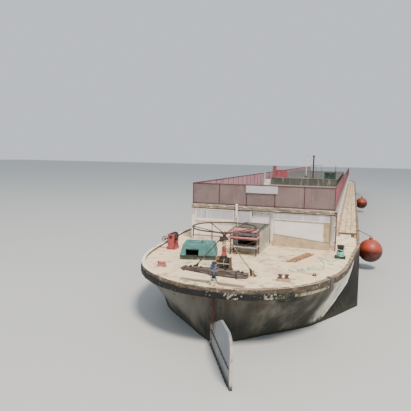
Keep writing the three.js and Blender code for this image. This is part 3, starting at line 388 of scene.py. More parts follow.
BANDED = (0.4, 1, 2)
MATERIALS = {
    "hull": cast_concrete(),
    "deck": screeded_deck(),
    "strake": tarred_strake(),
    "render": painted_render(),
    "felt": roof_felt(),
    "mesh": perforated_sheet(),
    "rudder": rudder_plate(),
    # Sheet steel under dull green grey paint, chalked by the sun
    "green_grey": coat("green_grey_paint", "#60635e", [
        ("#50534e", 420, 0.5, 0.15), ("#8d8e86", 90, 0.25, 0.06, STREAKS),
        ("#54473c", 40, 0.1, 0.03)], 0.7, 40, 1.2),
    # Square steel tube under maroon paint, faded on top and rusting at the welds
    "maroon": coat("maroon_painted_tube", "#59373f", [
        ("#6d444d", 200, 0.4, 0.15), ("#3a2423", 40, 0.3, 0.05)], 0.6, 20, 0.8, 0.2),
    # Mild steel rusted all over, dark and dry, with the last pale paint in flakes
    "rust": coat("rusted_mild_steel", "#4b3b37", [
        ("#5f4237", 70, 0.45, 0.1), ("#7a5546", 24, 0.2, 0.05),
        ("#9c8b81", 34, 0.12, 0.03)], 0.8, 12, 1.6, 0.3),
    # Forged iron, nearly black, brown where it is handled
    "iron_brown": coat("handled_iron", "#4a3d38", [
        ("#66534a", 90, 0.4, 0.1), ("#8a7568", 26, 0.18, 0.05)], 0.6, 14, 1.0, 0.4),
    # Cast iron fittings under old black paint, greyed, brown at the edges
    "iron": coat("blackened_cast_iron", "#302c2b", [
        ("#474140", 120, 0.45, 0.1), ("#5c4535", 30, 0.2, 0.05)], 0.65, 15, 1.2, 0.3),
    # Castings under brown ochre primer, greasy and stained
    "winch_brown": coat("brown_primer", "#7c563c", [
        ("#5a4031", 60, 0.45), ("#a37d5c", 28, 0.2, 0.05)], 0.7, 12, 1.2, 0.2),
    # Steel pipe under red brown oxide paint, chalky
    "pipe_brown": coat("red_oxide_pipe", "#6f4b43", [
        ("#573b36", 80, 0.4, 0.1, STREAKS), ("#93736a", 30, 0.2, 0.05, STREAKS)], 0.7, 18, 0.8),
    # Steel and timber under white gloss, dulled, with rust weeping from its chips
    "white": coat("white_gloss_on_steel", "#efece6", [
        ("#dcd6cd", 160, 0.4, 0.15), ("#a5876c", 28, 0.08, 0.03, STREAKS)], 0.5, 30, 0.6),
    # Board under fresh white paint, a little soiled
    "bright": coat("white_painted_board", "#f3f0ee", [
        ("#e4dfdd", 240, 0.4, 0.2), ("#c5b9ad", 70, 0.12, 0.05, STREAKS)], 0.6, 60, 0.6),
    # Wall panels and sign board under pale lilac grey paint, rain marked
    "lilac": coat("lilac_grey_panel", "#b9b8c1", [
        ("#b9b8c1", 300, 0.45, 0.2), ("#d9d7da", 90, 0.25, 0.08, STREAKS)], 0.6, 60, 0.6),
    # Mortar of the ledge, the sills and the bitts' base: beige and sandy, dark where water stands
    "ledge": coat("beige_mortar", "#b9a78d", [
        ("#a49278", 160, 0.45, 0.12), ("#8f7f6a", 60, 0.15, 0.05)], 0.9, 12, 2.0),
    # Fascia boards under cream paint, brown where it flakes along the lower edge
    "eaves": coat("cream_fascia", "#9b907f", [
        ("#7b7060", 180, 0.45, 0.12), ("#5f4c3e", 60, 0.26, 0.04, BANDED),
        ("#ece5d8", 70, 0.25, 0.06, BANDED)], 0.75, 18, 1.4),
    # Door leaf under pinkish grey paint
    "door": coat("pink_grey_door_paint", "#fbf4f3", [
        ("#f0e7e6", 200, 0.45, 0.15), ("#a1938f", 50, 0.14, 0.05, STREAKS)], 0.55, 40, 0.6),
    # Sheet under pale grey paint, chalky, brown where it is through
    "pale": coat("pale_grey_paint", "#cdcac5", [
        ("#9f9c99", 180, 0.5, 0.15), ("#cbc8c1", 70, 0.3, 0.08, STREAKS),
        ("#77675a", 36, 0.12, 0.03, STREAKS)], 0.65, 25, 0.8),
    # Boards weathered to silver grey, with dark grain down them
    "grey_board": coat("silvered_boards", "#b0aca5", [
        ("#918b84", 50, 0.5, 0.1, STREAKS), ("#5d564f", 22, 0.2, 0.05, STREAKS)], 0.85, 10, 1.4),
    # Glass fibre hood under teal paint, bleached on top, scuffed at the corners
    "teal": coat("teal_paint", "#3b7271", [
        ("#4d8786", 240, 0.5, 0.2), ("#8ab5b0", 60, 0.16), ("#2f5f5c", 110, 0.25, 0.1)], 0.55, 30, 0.8),
    # The same paint on the coaming and the roof locker, darker and greener
    "teal_dark": coat("shaded_teal_paint", "#344e4b", [
        ("#283d3a", 160, 0.5, 0.12), ("#6d8a84", 60, 0.2, 0.06)], 0.6, 30, 0.8),
    # Packing pieces and a strap under pale green paint, nearly gone
    "pale_green": coat("pale_green_paint", "#a8b69a", [
        ("#8c9a7f", 80, 0.4, 0.1), ("#6b6250", 26, 0.16, 0.04)], 0.65, 16, 1.0),
    # Oak baulk, long outdoors: grey brown, split along its length, dark in the shakes
    "timber": coat("weathered_oak", "#544b47", [
        ("#3e3633", 60, 0.5, 0.08, (0.1, 1, 1)), ("#857872", 22, 0.35, 0.05, (0.08, 1, 1)),
        ("#2f2727", 16, 0.2, 0.03, (0.06, 1, 1))], 0.9, 8, 3),
    # Softwood boards, bleached and stained: cream with grey and brown grain along them
    "boards": coat("bleached_boards", "#e8d4aa", [
        ("#bfa680", 70, 0.45, 0.1, ALONG), ("#9c8b72", 26, 0.2, 0.05, ALONG),
        ("#e7dcc8", 40, 0.3, 0.06, ALONG)], 0.85, 10, 1.5),
    # Pine plank under red brown stain, worn through on top
    "brown_plank": coat("stained_pine", "#9c6f50", [
        ("#7d5640", 50, 0.45, 0.1, ALONG), ("#bd9674", 30, 0.3, 0.06, ALONG)], 0.8, 9, 1.5),
    # Bench boards and port bollard under red paint that has gone pink, worn to grey
    "red": coat("faded_red_paint", "#b9696b", [
        ("#c98a87", 130, 0.45, 0.12), ("#d6aba3", 50, 0.22, 0.06),
        ("#5f423e", 28, 0.2, 0.04)], 0.65, 15, 1.2),
    # Wheel hub, column tube and winch frame under red paint, chipped to rust and primer
    "hub_red": coat("chipped_red_enamel", "#a0474a", [
        ("#783639", 60, 0.4), ("#c98f7f", 26, 0.22, 0.05), ("#4a332c", 22, 0.22, 0.04)], 0.6, 12, 1.2),
    # Pipes of the column and gland under cream paint, flaking to rust
    "flaking_cream": coat("flaking_cream_paint", "#dfd3bf", [
        ("#b58a74", 40, 0.4, 0.06), ("#7e3b2f", 30, 0.34, 0.04)], 0.7, 10, 1.4),
    # Spools of cast iron, polished brown by rope, with purple grey paint left between
    "bitts_purple": coat("worn_bitts_paint", "#55393a", [
        ("#7a5552", 30, 0.4), ("#b59a93", 18, 0.16, 0.04)], 0.6, 10, 1.2, 0.2),
    # Block of old conveyor belting, grey black, rubbed pale at its edges
    "chafe": coat("rubbed_belting", "#5b5453", [
        ("#474141", 70, 0.5, 0.12), ("#7d7470", 30, 0.2, 0.06, STREAKS)], 0.8, 14, 1.6),
    # Board under blue grey paint, worn
    "blue_grey": coat("blue_grey_paint", "#5e5c69", [
        ("#4a4955", 120, 0.5, 0.12), ("#85848c", 40, 0.2, 0.06)], 0.6, 18, 0.8),
    # Steel wire rope on its drum, greased and dark
    "wire": coat("greased_wire_rope", "#4f4a45", [
        ("#6d665e", 12, 0.45, 0.1), ("#3a332c", 40, 0.3, 0.1)], 0.5, 3, 1.5, 0.6),
    "vinyl": moulded_vinyl(),
    # Screens of perforated sheet under red paint, worn pink
    "red_mesh": coat("red_screen_sheet", "#a04f58", [
        ("#874049", 120, 0.4, 0.15), ("#b87a7d", 60, 0.2, 0.08, STREAKS)], 0.6, 30, 0.6),
    # Steel tube, galvanised once, dull and brown where it rusts through
    "worn_tube": coat("worn_galvanised_tube", "#92826f", [
        ("#6a574a", 60, 0.4, 0.1), ("#b5a795", 40, 0.25, 0.06)], 0.6, 20, 0.8, 0.3),
    "teal_rope": laid_fibre("teal_fibre_rope", "#9de8d6", "#4fae9d"),
    "blue_rope": laid_fibre("blue_fibre_rope", "#6f7fa6", "#2c375c"),
    # Window glass over a dark room: near black with a sharp sky in it
    "glass": coat("window_glass", "#20282b", [("#2c3639", 900, 0.5, 0.2)], 0.06, 900, 0.2),
}


# Shapes

ATHWART, FORE_AND_AFT, UPRIGHT = (1, 0, 0), (0, 1, 0), (0, 0, 1)
CORNERS = [(i, j) for i in (-1, 1) for j in (-1, 1)]


def up(height):
    return Vector((0, 0, height))


def way_at(angle, axis=UPRIGHT):
    """The direction at an angle about one of the three axes."""
    c, s = cos(angle), sin(angle)
    return Vector({UPRIGHT: (c, s, 0), ATHWART: (0, c, s), FORE_AND_AFT: (c, 0, s)}[axis])


def cuboid(mesh, start, end):
    """A box between two opposite corners."""
    low = Vector([min(pair) for pair in zip(start, end)])
    high = Vector([max(pair) for pair in zip(start, end)])
    corners = bmesh.ops.create_cube(mesh, size=1.0)["verts"]
    bmesh.ops.scale(mesh, vec=high - low, verts=corners)
    bmesh.ops.translate(mesh, vec=(high + low) / 2, verts=corners)
    return corners


def rod(mesh, start, end, radius, sides=16, far=None):
    start, end = Vector(start), Vector(end)
    way = end - start
    ring = bmesh.ops.create_cone(mesh, cap_ends=True, segments=sides, radius1=radius,
                                 radius2=radius if far is None else far, depth=way.length)["verts"]
    turn = Vector(UPRIGHT).rotation_difference(way).to_matrix().to_4x4()
    bmesh.ops.transform(mesh, matrix=Matrix.Translation((start + end) / 2) @ turn, verts=ring)
    return ring


def spun(mesh, section, edges, steps, place, axis):
    """A section spun about its axis, closed, and stood at its place."""
    before = set(mesh.verts) - set(section)
    bmesh.ops.spin(mesh, geom=section + edges, cent=(0, 0, 0), axis=UPRIGHT, angle=2 * pi, steps=steps,
                   use_merge=True)
    bmesh.ops.remove_doubles(mesh, verts=[vert for vert in mesh.verts if vert not in before], dist=1e-6)
    made = [vert for vert in mesh.verts if vert not in before]
    turn = Vector(UPRIGHT).rotation_difference(Vector(axis)).to_matrix().to_4x4()
    bmesh.ops.transform(mesh, matrix=Matrix.Translation(place) @ turn, verts=made)
    return made


def hoop(mesh, centre, radius, thick, steps=96, sides=12, axis=UPRIGHT):
    """A ring of round bar."""
    section = bmesh.ops.create_circle(mesh, segments=sides, radius=thick)["verts"]
    bmesh.ops.rotate(mesh, matrix=Matrix.Rotation(radians(90), 3, "X"), verts=section)
    bmesh.ops.translate(mesh, vec=(radius, 0, 0), verts=section)
    edges = list({edge for vert in section for edge in vert.link_edges})
    return spun(mesh, section, edges, steps, centre, axis)


def turned(mesh, profile, steps, place, axis=UPRIGHT):
    """A turned piece, from its profile of radius and height."""
    chain = [mesh.verts.new((radius, 0, height)) for radius, height in profile]
    edges = [mesh.edges.new(pair) for pair in zip(chain, chain[1:])]
    return spun(mesh, chain, edges, steps, place, axis)


def collar(mesh, inner, outer, half, steps, place, axis=UPRIGHT):
    """A turned ring of rectangular section, `half` to each side of its place."""
    section = [(inner, -half), (outer, -half), (outer, half), (inner, half), (inner, -half)]
    turned(mesh, section, steps, place, axis)


def stand(mesh, verts, place, angle):
    """Stands what was made at the origin at its place, turned about Z."""
    turn = Matrix.Translation(place) @ Matrix.Rotation(angle, 4, "Z")
    bmesh.ops.transform(mesh, matrix=turn, verts=verts)


def bolts(mesh, places, radius=0.008, rise=0.007):
    """Hexagon heads on washers, standing on a level face."""
    for place in places:
        rod(mesh, place, Vector(place) + up(0.002), radius * 1.5, 16)
        rod(mesh, Vector(place) + up(0.001), Vector(place) + up(rise), radius, 6)


def corner_bolts(mesh, x, y, z, half_x, half_y, radius, rise):
    bolts(mesh, [(x + i * half_x, y + j * half_y, z) for i, j in CORNERS], radius, rise)


def between(a, b, start, end, at):
    """The point at one knot, on the line through two points that stand at two knots."""
    return a * ((end - at) / (end - start)) + b * ((at - start) / (end - start))


def smooth_route(points, steps):
    """Points along a smooth line through the given ones, as the solid's line runs."""
    route = [Vector(p) for p in points]
    route = [route[0] * 2 - route[1]] + route + [route[-1] * 2 - route[-2]]
    line = []
    for before, start, end, after in zip(route, route[1:], route[2:], route[3:]):
        legs = ((before, start), (start, end), (end, after))
        knots = [0.0]
        for a, b in legs:
            knots.append(knots[-1] + max((b - a).length, 1e-6) ** 0.5)
        for i in range(steps):
            t = knots[1] + (knots[2] - knots[1]) * i / steps
            first = [between(a, b, knots[k], knots[k + 1], t) for k, (a, b) in enumerate(legs)]
            second = [between(first[k], first[k + 1], knots[k], knots[k + 2], t) for k in range(2)]
            line.append(between(*second, knots[1], knots[2], t))
    return line + [route[-2]]


STRANDS = 3
LAY = 3.4  # turns of the strands take this many rope diameters


def laid_rope(mesh, line, radius):
    """Three strands laid round a line, as one closed tube with a turning three-lobed section."""
    ring = bmesh.ops.create_circle(mesh, cap_ends=True, segments=STRANDS * 4, radius=radius)["verts"]
    section = [vert.co * (0.9 + 0.1 * abs(cos(STRANDS * atan2(vert.co.y, vert.co.x) / 2)))
               for vert in ring]
    face = ring[0].link_faces[0]
    travelled = 0.0
    across = (line[1] - line[0]).normalized().orthogonal().normalized()
    for i, point in enumerate(line):
        ahead = (line[min(i + 1, len(line) - 1)] - line[max(i - 1, 0)]).normalized()
        across = (across - ahead * across.dot(ahead)).normalized()
        if i:
            travelled += (point - line[i - 1]).length
            made = bmesh.ops.extrude_face_region(mesh, geom=[face])["geom"]
            face = next(item for item in made if isinstance(item, bmesh.types.BMFace))
        turn = 2 * pi * travelled / (LAY * 2 * radius)
        side = ahead.cross(across)
        for corner, flat in zip(face.loops, section):
            x = flat.x * cos(turn) - flat.y * sin(turn)
            y = flat.x * sin(turn) + flat.y * cos(turn)
            corner.vert.co = point + across * x + side * y


def closed_rope(mesh, corners, radius, steps=12):
    """A closed turn of laid rope through the given corners."""
    laid_rope(mesh, smooth_route([*corners, corners[0]], steps), radius)


def rope_ring(mesh, x, y, height, reach, radius, count):
    """A closed ring of laid rope round an upright axis; `height` gives its Z at each angle."""
    angles = [2 * pi * i / count for i in range(count)]
    corners = [(x + reach * cos(a), y + reach * sin(a), height(a)) for a in angles]
    closed_rope(mesh, corners, radius, 6)


def even_skin(mesh, size):
    """The mesh made again with an even skin of small faces, so that its surface can be worked."""
    base = bpy.data.objects.new("base", bpy.data.meshes.new("base"))
    mesh.to_mesh(base.data)
    mesh.free()
    bpy.context.scene.collection.objects.link(base)
    even = base.modifiers.new("even skin", "REMESH")
    even.mode = "VOXEL"
    even.voxel_size = size
    skin = bpy.data.meshes.new_from_object(base.evaluated_get(bpy.context.evaluated_depsgraph_get()))
    bpy.data.objects.remove(base)
    mesh = bmesh.new()
    mesh.from_mesh(skin)
    mesh.normal_update()
    return mesh


BODY_OF = {node: body for body, nodes in frame["record"]["behaviour"]["bodies"].items() for node in nodes}


def detail(mesh, name, material, node, bevel=0.0, angle=35, replaces=()):
    """A finished piece, its corners softened. It moves with the named solid, and the solids that it
    replaces are hidden.
    """
    bmesh.ops.recalc_face_normals(mesh, faces=mesh.faces)
    data = bpy.data.meshes.new(name)
    mesh.to_mesh(data)
    mesh.free()
    data.materials.append(MATERIALS[material])
    data.shade_smooth()
    data.set_sharp_from_angle(angle=radians(angle))
    thing = bpy.data.objects.new(name, data)
    bpy.context.scene.collection.objects.link(thing)
    if bevel:
        soft = thing.modifiers.new("softened corners", "BEVEL")
        soft.width = bevel
        soft.segments = 2
        soft.limit_method = "ANGLE"
        soft.angle_limit = radians(angle)
        soft.harden_normals = True
    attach(thing, BODY_OF[node])
    if replaces:
        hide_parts(*replaces)
    return thing


def stands_for(mesh, node, material, bevel=0.0, angle=35, ending="_made"):
    """A piece in the place of a solid."""
    return detail(mesh, node + ending, material, node, bevel, angle, [node])


def merged(node):
    """A copy of a solid's mesh with its triangles joined."""
    mesh = bmesh.new()
    mesh.from_mesh(frame["nodes"][node].data)
    bmesh.ops.remove_doubles(mesh, verts=mesh.verts, dist=0.00004)
    return mesh


# Mooring rope, lying in two heaps from the starboard bollard towards the rim

ROPE_RADIUS = 0.0075
ROPE_ROUTE = [
    (1.608, -14.428), (1.608, -14.478), (1.588, -14.545), (1.568, -14.61), (1.548, -14.668),
    (1.497, -14.708), (1.443, -14.678), (1.422, -14.632), (1.37, -14.598), (1.32, -14.633),
    (1.318, -14.69), (1.34, -14.755), (1.372, -14.83), (1.395, -14.92), (1.398, -15.02),
    (1.392, -15.12), (1.402, -15.215), (1.402, -15.305), (1.354, -15.366), (1.288, -15.37),
    (1.235, -15.333), (1.172, -15.343), (1.16, -15.405), (1.208, -15.457), (1.197, -15.518),
    (1.137, -15.532), (1.079, -15.487), (1.016, -15.498), (1.004, -15.56), (1.052, -15.612),
    (1.041, -15.673), (0.981, -15.687), (0.922, -15.64), (0.88, -15.603),
]


def deck_rope():
    line = smooth_route([(x, y, deck_z(x) + ROPE_RADIUS + 0.0003) for x, y in ROPE_ROUTE], 20)
    mesh = bmesh.new()
    laid_rope(mesh, line, ROPE_RADIUS)
    rope = stands_for(mesh, "deck_rope", "teal_rope", angle=60)
    tuple(line[0])
    sum((b - a).length for a, b in zip(line, line[1:]))
    [tuple(p) for p in line]


deck_rope()


# The solids whose shape is right, with the finish and the rounding of their corners in metres
PLAIN_FINISH = {
    "hull": ("hull", 0.0), "aft_deck": ("deck", 0.004), "fore_deck": ("deck", 0.004),
    "port_side_deck": ("deck", 0.004), "starboard_side_deck": ("deck", 0.004),
    "stern_wall": ("render", 0.003), "port_wall_aft": ("render", 0.003),
    "port_wall_fore": ("render", 0.003), "starboard_wall_aft": ("render", 0.003),
    "starboard_wall_fore": ("render", 0.003), "fore_wall": ("render", 0.003),
    "port_glazing": ("glass", 0.0), "starboard_glazing": ("glass", 0.0),
    "stern_door": ("door", 0.002), "fore_door": ("door", 0.002), "terrace_roof": ("felt", 0.004),
    "fore_roof": ("felt", 0.004), "roof_trunk": ("green_grey", 0.004), "roof_steps": ("white", 0.004),
    "roof_locker": ("teal_dark", 0.006), "stove_pipe": ("iron", 0.0), "mast_foot": ("iron", 0.002),
    "mast": ("white", 0.0), "port_column_stay": ("rust", 0.001),
    "starboard_column_stay": ("worn_tube", 0.001),
    "rudder_blade": ("rudder", 0.003), "stock_gland": ("flaking_cream", 0.002),
    "companion_box": ("pale", 0.003), "companion_lid": ("green_grey", 0.003),
    "hatch_coaming": ("teal_dark", 0.003), "hatch_hood": ("teal", 0.006),
    "winch_frame": ("hub_red", 0.002),
    "starboard_bollard": ("iron", 0.004), "port_bollard": ("red", 0.004), "bow_bitts": ("iron", 0.004),
    "windlass_frame": ("iron", 0.004), "windlass_drum": ("rust", 0.003), "sign_board": ("lilac", 0.001),
    "downpipe": ("pipe_brown", 0.0), "vent_pole": ("white", 0.0),
}

for node, (material, bevel) in PLAIN_FINISH.items():
    stands_for(merged(node), node, material, bevel, 30, "_finish")


# The strake's skin is torn most about these two places across the stern
WORST_TEARS = (0.33, 0.8)
TEAR_WIDTH = 0.14
TEAR_DEPTH = 0.005


def strake():
    """The strake's skin, made lumpy, with its torn places sunk and marked for its finish."""
    mesh = even_skin(merged("rubbing_strake"), size=0.0055)
    torn = mesh.verts.layers.float.new("torn")
    for vert in mesh.verts:
        place = vert.co.copy()
        flake = noise.noise(place * 27 + Vector((3, 1, 7))) + 0.4 * noise.noise(place * 70)
        more = sum(exp(-((place.x - x) / TEAR_WIDTH) ** 2) for x in WORST_TEARS) * 0.68 - 0.32
        gone = min(1.0, max(0.0, (flake - 0.34 + more) * 14))
        vert[torn] = gone
        lumps = 0.006 * noise.noise(place * 11) + 0.003 * noise.noise(place * 31)
        vert.co += vert.normal * (lumps - TEAR_DEPTH * gone)
    stands_for(mesh, "rubbing_strake", "strake", angle=60)


strake()


# Stern wall: frames, panels, ledge and painted shadow lines, all thin

def slanted_sheet(mesh, x0, x1, lows, tops, foot, head):
    """A sheet on the stern wall with its own heights at each end, and its reach at foot and head."""
    for vert in cuboid(mesh, (x0, -1, 0), (x1, 0, 1)):
        right, high, near = vert.co.x > (x0 + x1) / 2, vert.co.z > 0.5, vert.co.y < -0.5
        vert.co.z = (tops if high else lows)[right]
        vert.co.y = WALL - ((head if high else foot) if near else 0.0004)


def on_wall(strips, clear=0.0005):
    """Flat strips on the stern wall: two places across, two heights, and how far each stands out."""
    mesh = bmesh.new()
    for x0, x1, z0, z1, out in strips:
        cuboid(mesh, (x0, WALL - out, z0), (x1, WALL - clear, z1))
    return mesh


def stern_wall_trim():
    mesh = on_wall(((-1.429, -0.548, 2.22, 2.244, 0.012), (-1.429, -1.406, 2.03, 2.22, 0.01),
                    (-0.576, -0.549, 2.03, 2.22, 0.01), (-1.429, -0.53, 1.972, 2.03, 0.022),
                    (-0.214, -0.178, 1.6, 2.224, 0.005), (-0.214, 0.23, 2.224, 2.252, 0.006),
                    (-1.429, -0.548, 1.952, 1.964, 0.008), (0.288, 1.408, 2.1, 2.116, 0.012)), 0.0004)
    detail(mesh, "stern_wall_frames", "white", "stern_wall", 0.002)
    mesh = on_wall(((-1.406, -0.576, 2.03, 2.22, 0.004), (-0.455, -0.216, 1.62, 2.24, 0.003),
                    (0.288, 1.408, 2.118, 2.262, 0.003)))
    detail(mesh, "stern_wall_panels", "lilac", "stern_wall", 0.001)
    mesh = bmesh.new()
    slanted_sheet(mesh, 0.305, 1.27, (1.792, 1.702), (2.07, 2.062), 0.006, 0.006)
    detail(mesh, "bright_panel", "bright", "stern_wall", 0.002)
    mesh = on_wall(((1.3, 1.404, 1.69, 2.098, 0.004),))
    slanted_sheet(mesh, 0.288, 1.408, (1.548, 1.548), (1.793, 1.688), 0.045, 0.012)
    detail(mesh, "sloping_ledge", "ledge", "stern_wall", 0.003)
    # Painted shadow: thin dark strips in the black iron finish, where shadow lines fall on the wall
    mesh = on_wall(((-1.429, -0.56, 1.65, 1.662, 0.01), (-1.5, 1.5, 2.2455, 2.2615, 0.0195),
                    (-1.5, 1.5, 2.288, 2.293, 0.0208), (-1.2, -1.195, 2.04, 2.215, 0.0055),
                    (-0.8, -0.795, 2.04, 2.215, 0.0055)))
    slanted_sheet(mesh, 0.292, 1.404, (1.7935, 1.6885), (1.8015, 1.6965), 0.013, 0.013)
    detail(mesh, "stern_wall_shadow_strips", "iron", "stern_wall", 0.001)
    mesh = on_wall(((-1.512, 1.512, 2.262, 2.2875, 0.022),), 0.001)
    cuboid(mesh, (-1.512, WALL - 0.0225, 2.2935), (1.512, WALL - 0.0205, 2.33))
    detail(mesh, "eaves_boards", "eaves", "terrace_roof", 0.0008)
    mesh = bmesh.new()
    for x in (-1.36, -0.93, -0.47, 0.36, 0.62, 1.02, 1.36):
        rod(mesh, (x, WALL - 0.0285, 2.312), (x, WALL - 0.0215, 2.312), 0.007, 6)
    detail(mesh, "eaves_bolts", "iron", "terrace_roof")


stern_wall_trim()


def door_details(node, x0, x1, face, outward):
    """Boards, lock plate and lever on the outer face of a door leaf."""
    mesh = bmesh.new()
    width = (x1 - x0 - 0.07) / 3
    for i in range(3):
        left = x0 + 0.025 + i * (width + 0.01)
        for low, high in ((1.64, 1.875), (1.905, 2.18)):
            cuboid(mesh, (left, face, low), (left + width, face + outward * 0.004, high))
    detail(mesh, node + "_boards", "door", node, 0.0015)
    mesh = bmesh.new()
    x, tip, lever, key = x1 - 0.03, face + outward * 0.022, 1.915, 1.878
    cuboid(mesh, (x - 0.01, face, 1.86), (x + 0.01, face + outward * 0.006, 1.94))
    rod(mesh, (x, face, lever), (x, face + outward * 0.024, lever), 0.005, 12)
    rod(mesh, (x, tip, lever), (x - 0.05, tip, lever), 0.0045, 12)
    rod(mesh, (x, face, key), (x, face + outward * 0.009, key), 0.004, 12)
    detail(mesh, node + "_lock", "iron", node, 0.0008)


door_details("stern_door", -0.168, 0.218, WALL + 0.053, -1)
door_details("fore_door", -0.893, -0.507, FORE_WALL - 0.053, 1)


def side_windows(side, name):
    """White timber frames with a middle bar, and a sill below each opening."""
    frames, sills = bmesh.new(), bmesh.new()
    inside, face = side * (HOUSE_HALF - 0.052), side * (HOUSE_HALF + 0.004)
    back, lip = side * (HOUSE_HALF + 0.0004), side * (HOUSE_HALF + 0.026)
    for middle in (WALL + 6.7875, WALL + 20.2125):
        for i in range(9):
            y = middle + (i - 4) * 1.5
            for y0, y1, z0, z1 in ((-0.23, -0.206, 1.83, 2.11), (0.206, 0.23, 1.83, 2.11),
                                   (-0.23, 0.23, 1.83, 1.852), (-0.23, 0.23, 2.088, 2.11),
                                   (-0.009, 0.009, 1.852, 2.088)):
                cuboid(frames, (inside, y + y0, z0), (face, y + y1, z1))
            cuboid(sills, (back, y - 0.255, 1.8), (lip, y + 0.255, 1.828))
    detail(frames, name + "_window_frames", "white", name + "_wall_aft", 0.0015)
    detail(sills, name + "_window_sills", "ledge", name + "_wall_aft", 0.003)


side_windows(1, "starboard")
side_windows(-1, "port")


# Railings: square tube posts and rails, with a perforated sheet behind them

POST = 0.0085
SHEET = 0.0025
END = 0.013


def railing(node, bays):
    """One length, along the longer side of its solid."""
    low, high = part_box(node)
    along = 0 if high.x - low.x > high.y - low.y else 1
    middle = (low + high) / 2
    first, last = low[along], high[along]
    bars, sheet = bmesh.new(), bmesh.new()

    def bar(mesh, start, end, half, bottom, top):
        near, far = Vector((*middle.xy, bottom)), Vector((*middle.xy, top))
        near[along], far[along] = start, end
        near[1 - along] -= half
        far[1 - along] += half
        cuboid(mesh, near, far)

    bar(bars, first, last, 0.011, high.z - 0.018, high.z)
    bar(bars, first, last, 0.008, low.z + 0.014, low.z + 0.03)
    for i in range(bays + 1):
        place = first + END + (last - first - 2 * END) * i / bays
        bar(bars, place - POST, place + POST, POST, low.z, high.z - 0.01)
        bar(bars, place - 0.024, place + 0.024, 0.0125, low.z, low.z + 0.006)
    stands_for(bars, node, "maroon", 0.0015, ending="_bars")
    bar(sheet, first + 0.004, last - 0.004, SHEET, low.z + 0.03, high.z - 0.012)
    detail(sheet, node + "_sheet", "mesh", node)


for node, bays in (("stern_railing", 5), ("port_railing", 14), ("starboard_railing", 15),
                   ("port_fore_railing", 24), ("starboard_fore_railing", 24)):
    railing(node, bays)


# Roof and trunk

def trunk_details():
    """Ribs, edge strip and battens of the trunk, and the small screens at its aft end."""
    mesh = bmesh.new()
    foot, head = ROOF + 0.004, TRUNK_TOP - 0.032
    for side in (-1, 1):
        for i in range(12):
            y = TRUNK + 0.45 + i
            cuboid(mesh, (side * 1.2296, y - 0.018, foot), (side * 1.2365, y + 0.018, head))
    for x in (-1.18, -0.41, 0.41, 1.18):
        cuboid(mesh, (x - 0.018, TRUNK + 0.0035, foot), (x + 0.018, TRUNK + 0.0098, head))
    for y in [TRUNK + i for i in range(1, 12)]:
        cuboid(mesh, (-1.22, y - 0.02, TRUNK_TOP + 0.0003), (1.22, y + 0.02, TRUNK_TOP + 0.007))
    detail(mesh, "trunk_ribs", "green_grey", "roof_trunk", 0.0015)
    mesh = bmesh.new()
    foot, head = TRUNK_TOP - 0.012, TRUNK_TOP + 0.004
    cuboid(mesh, (-1.246, TRUNK - 0.004, foot), (1.246, TRUNK - 0.0003, head))
    for side in (-1, 1):
        cuboid(mesh, (side * 1.2453, TRUNK, foot), (side * 1.249, TRUNK + 11.9, head))
    detail(mesh, "trunk_edge_strip", "eaves", "roof_trunk", 0.001)
    bars, sheet = bmesh.new(), bmesh.new()
    low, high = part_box("trunk_railing")
    y = (low.y + high.y) / 2
    for x0, x1, top, filled in ((low.x + 0.002, low.x + 0.145, high.z - 0.001, True),
                                (low.x + 0.145, high.x - 0.002, low.z + 0.3, True),
                                (0.25, 0.65, 3.125, False), (1.155, 1.175, 3.14, False)):
        for x in (x0 + 0.006, (x0 + x1) / 2, x1 - 0.006):
            cuboid(bars, (x - 0.006, y - 0.006, TRUNK_TOP + 0.0003), (x + 0.006, y + 0.006, top))
        cuboid(bars, (x0, y - 0.0075, top - 0.014), (x1, y + 0.0075, top))
        if filled:
            cuboid(sheet, (x0 + 0.012, y - 0.002, TRUNK_TOP + 0.03), (x1 - 0.012, y + 0.002, top - 0.014))
    stands_for(bars, "trunk_railing", "maroon", 0.001)
    detail(sheet, "trunk_screen_sheet", "red_mesh", "trunk_railing")


trunk_details()


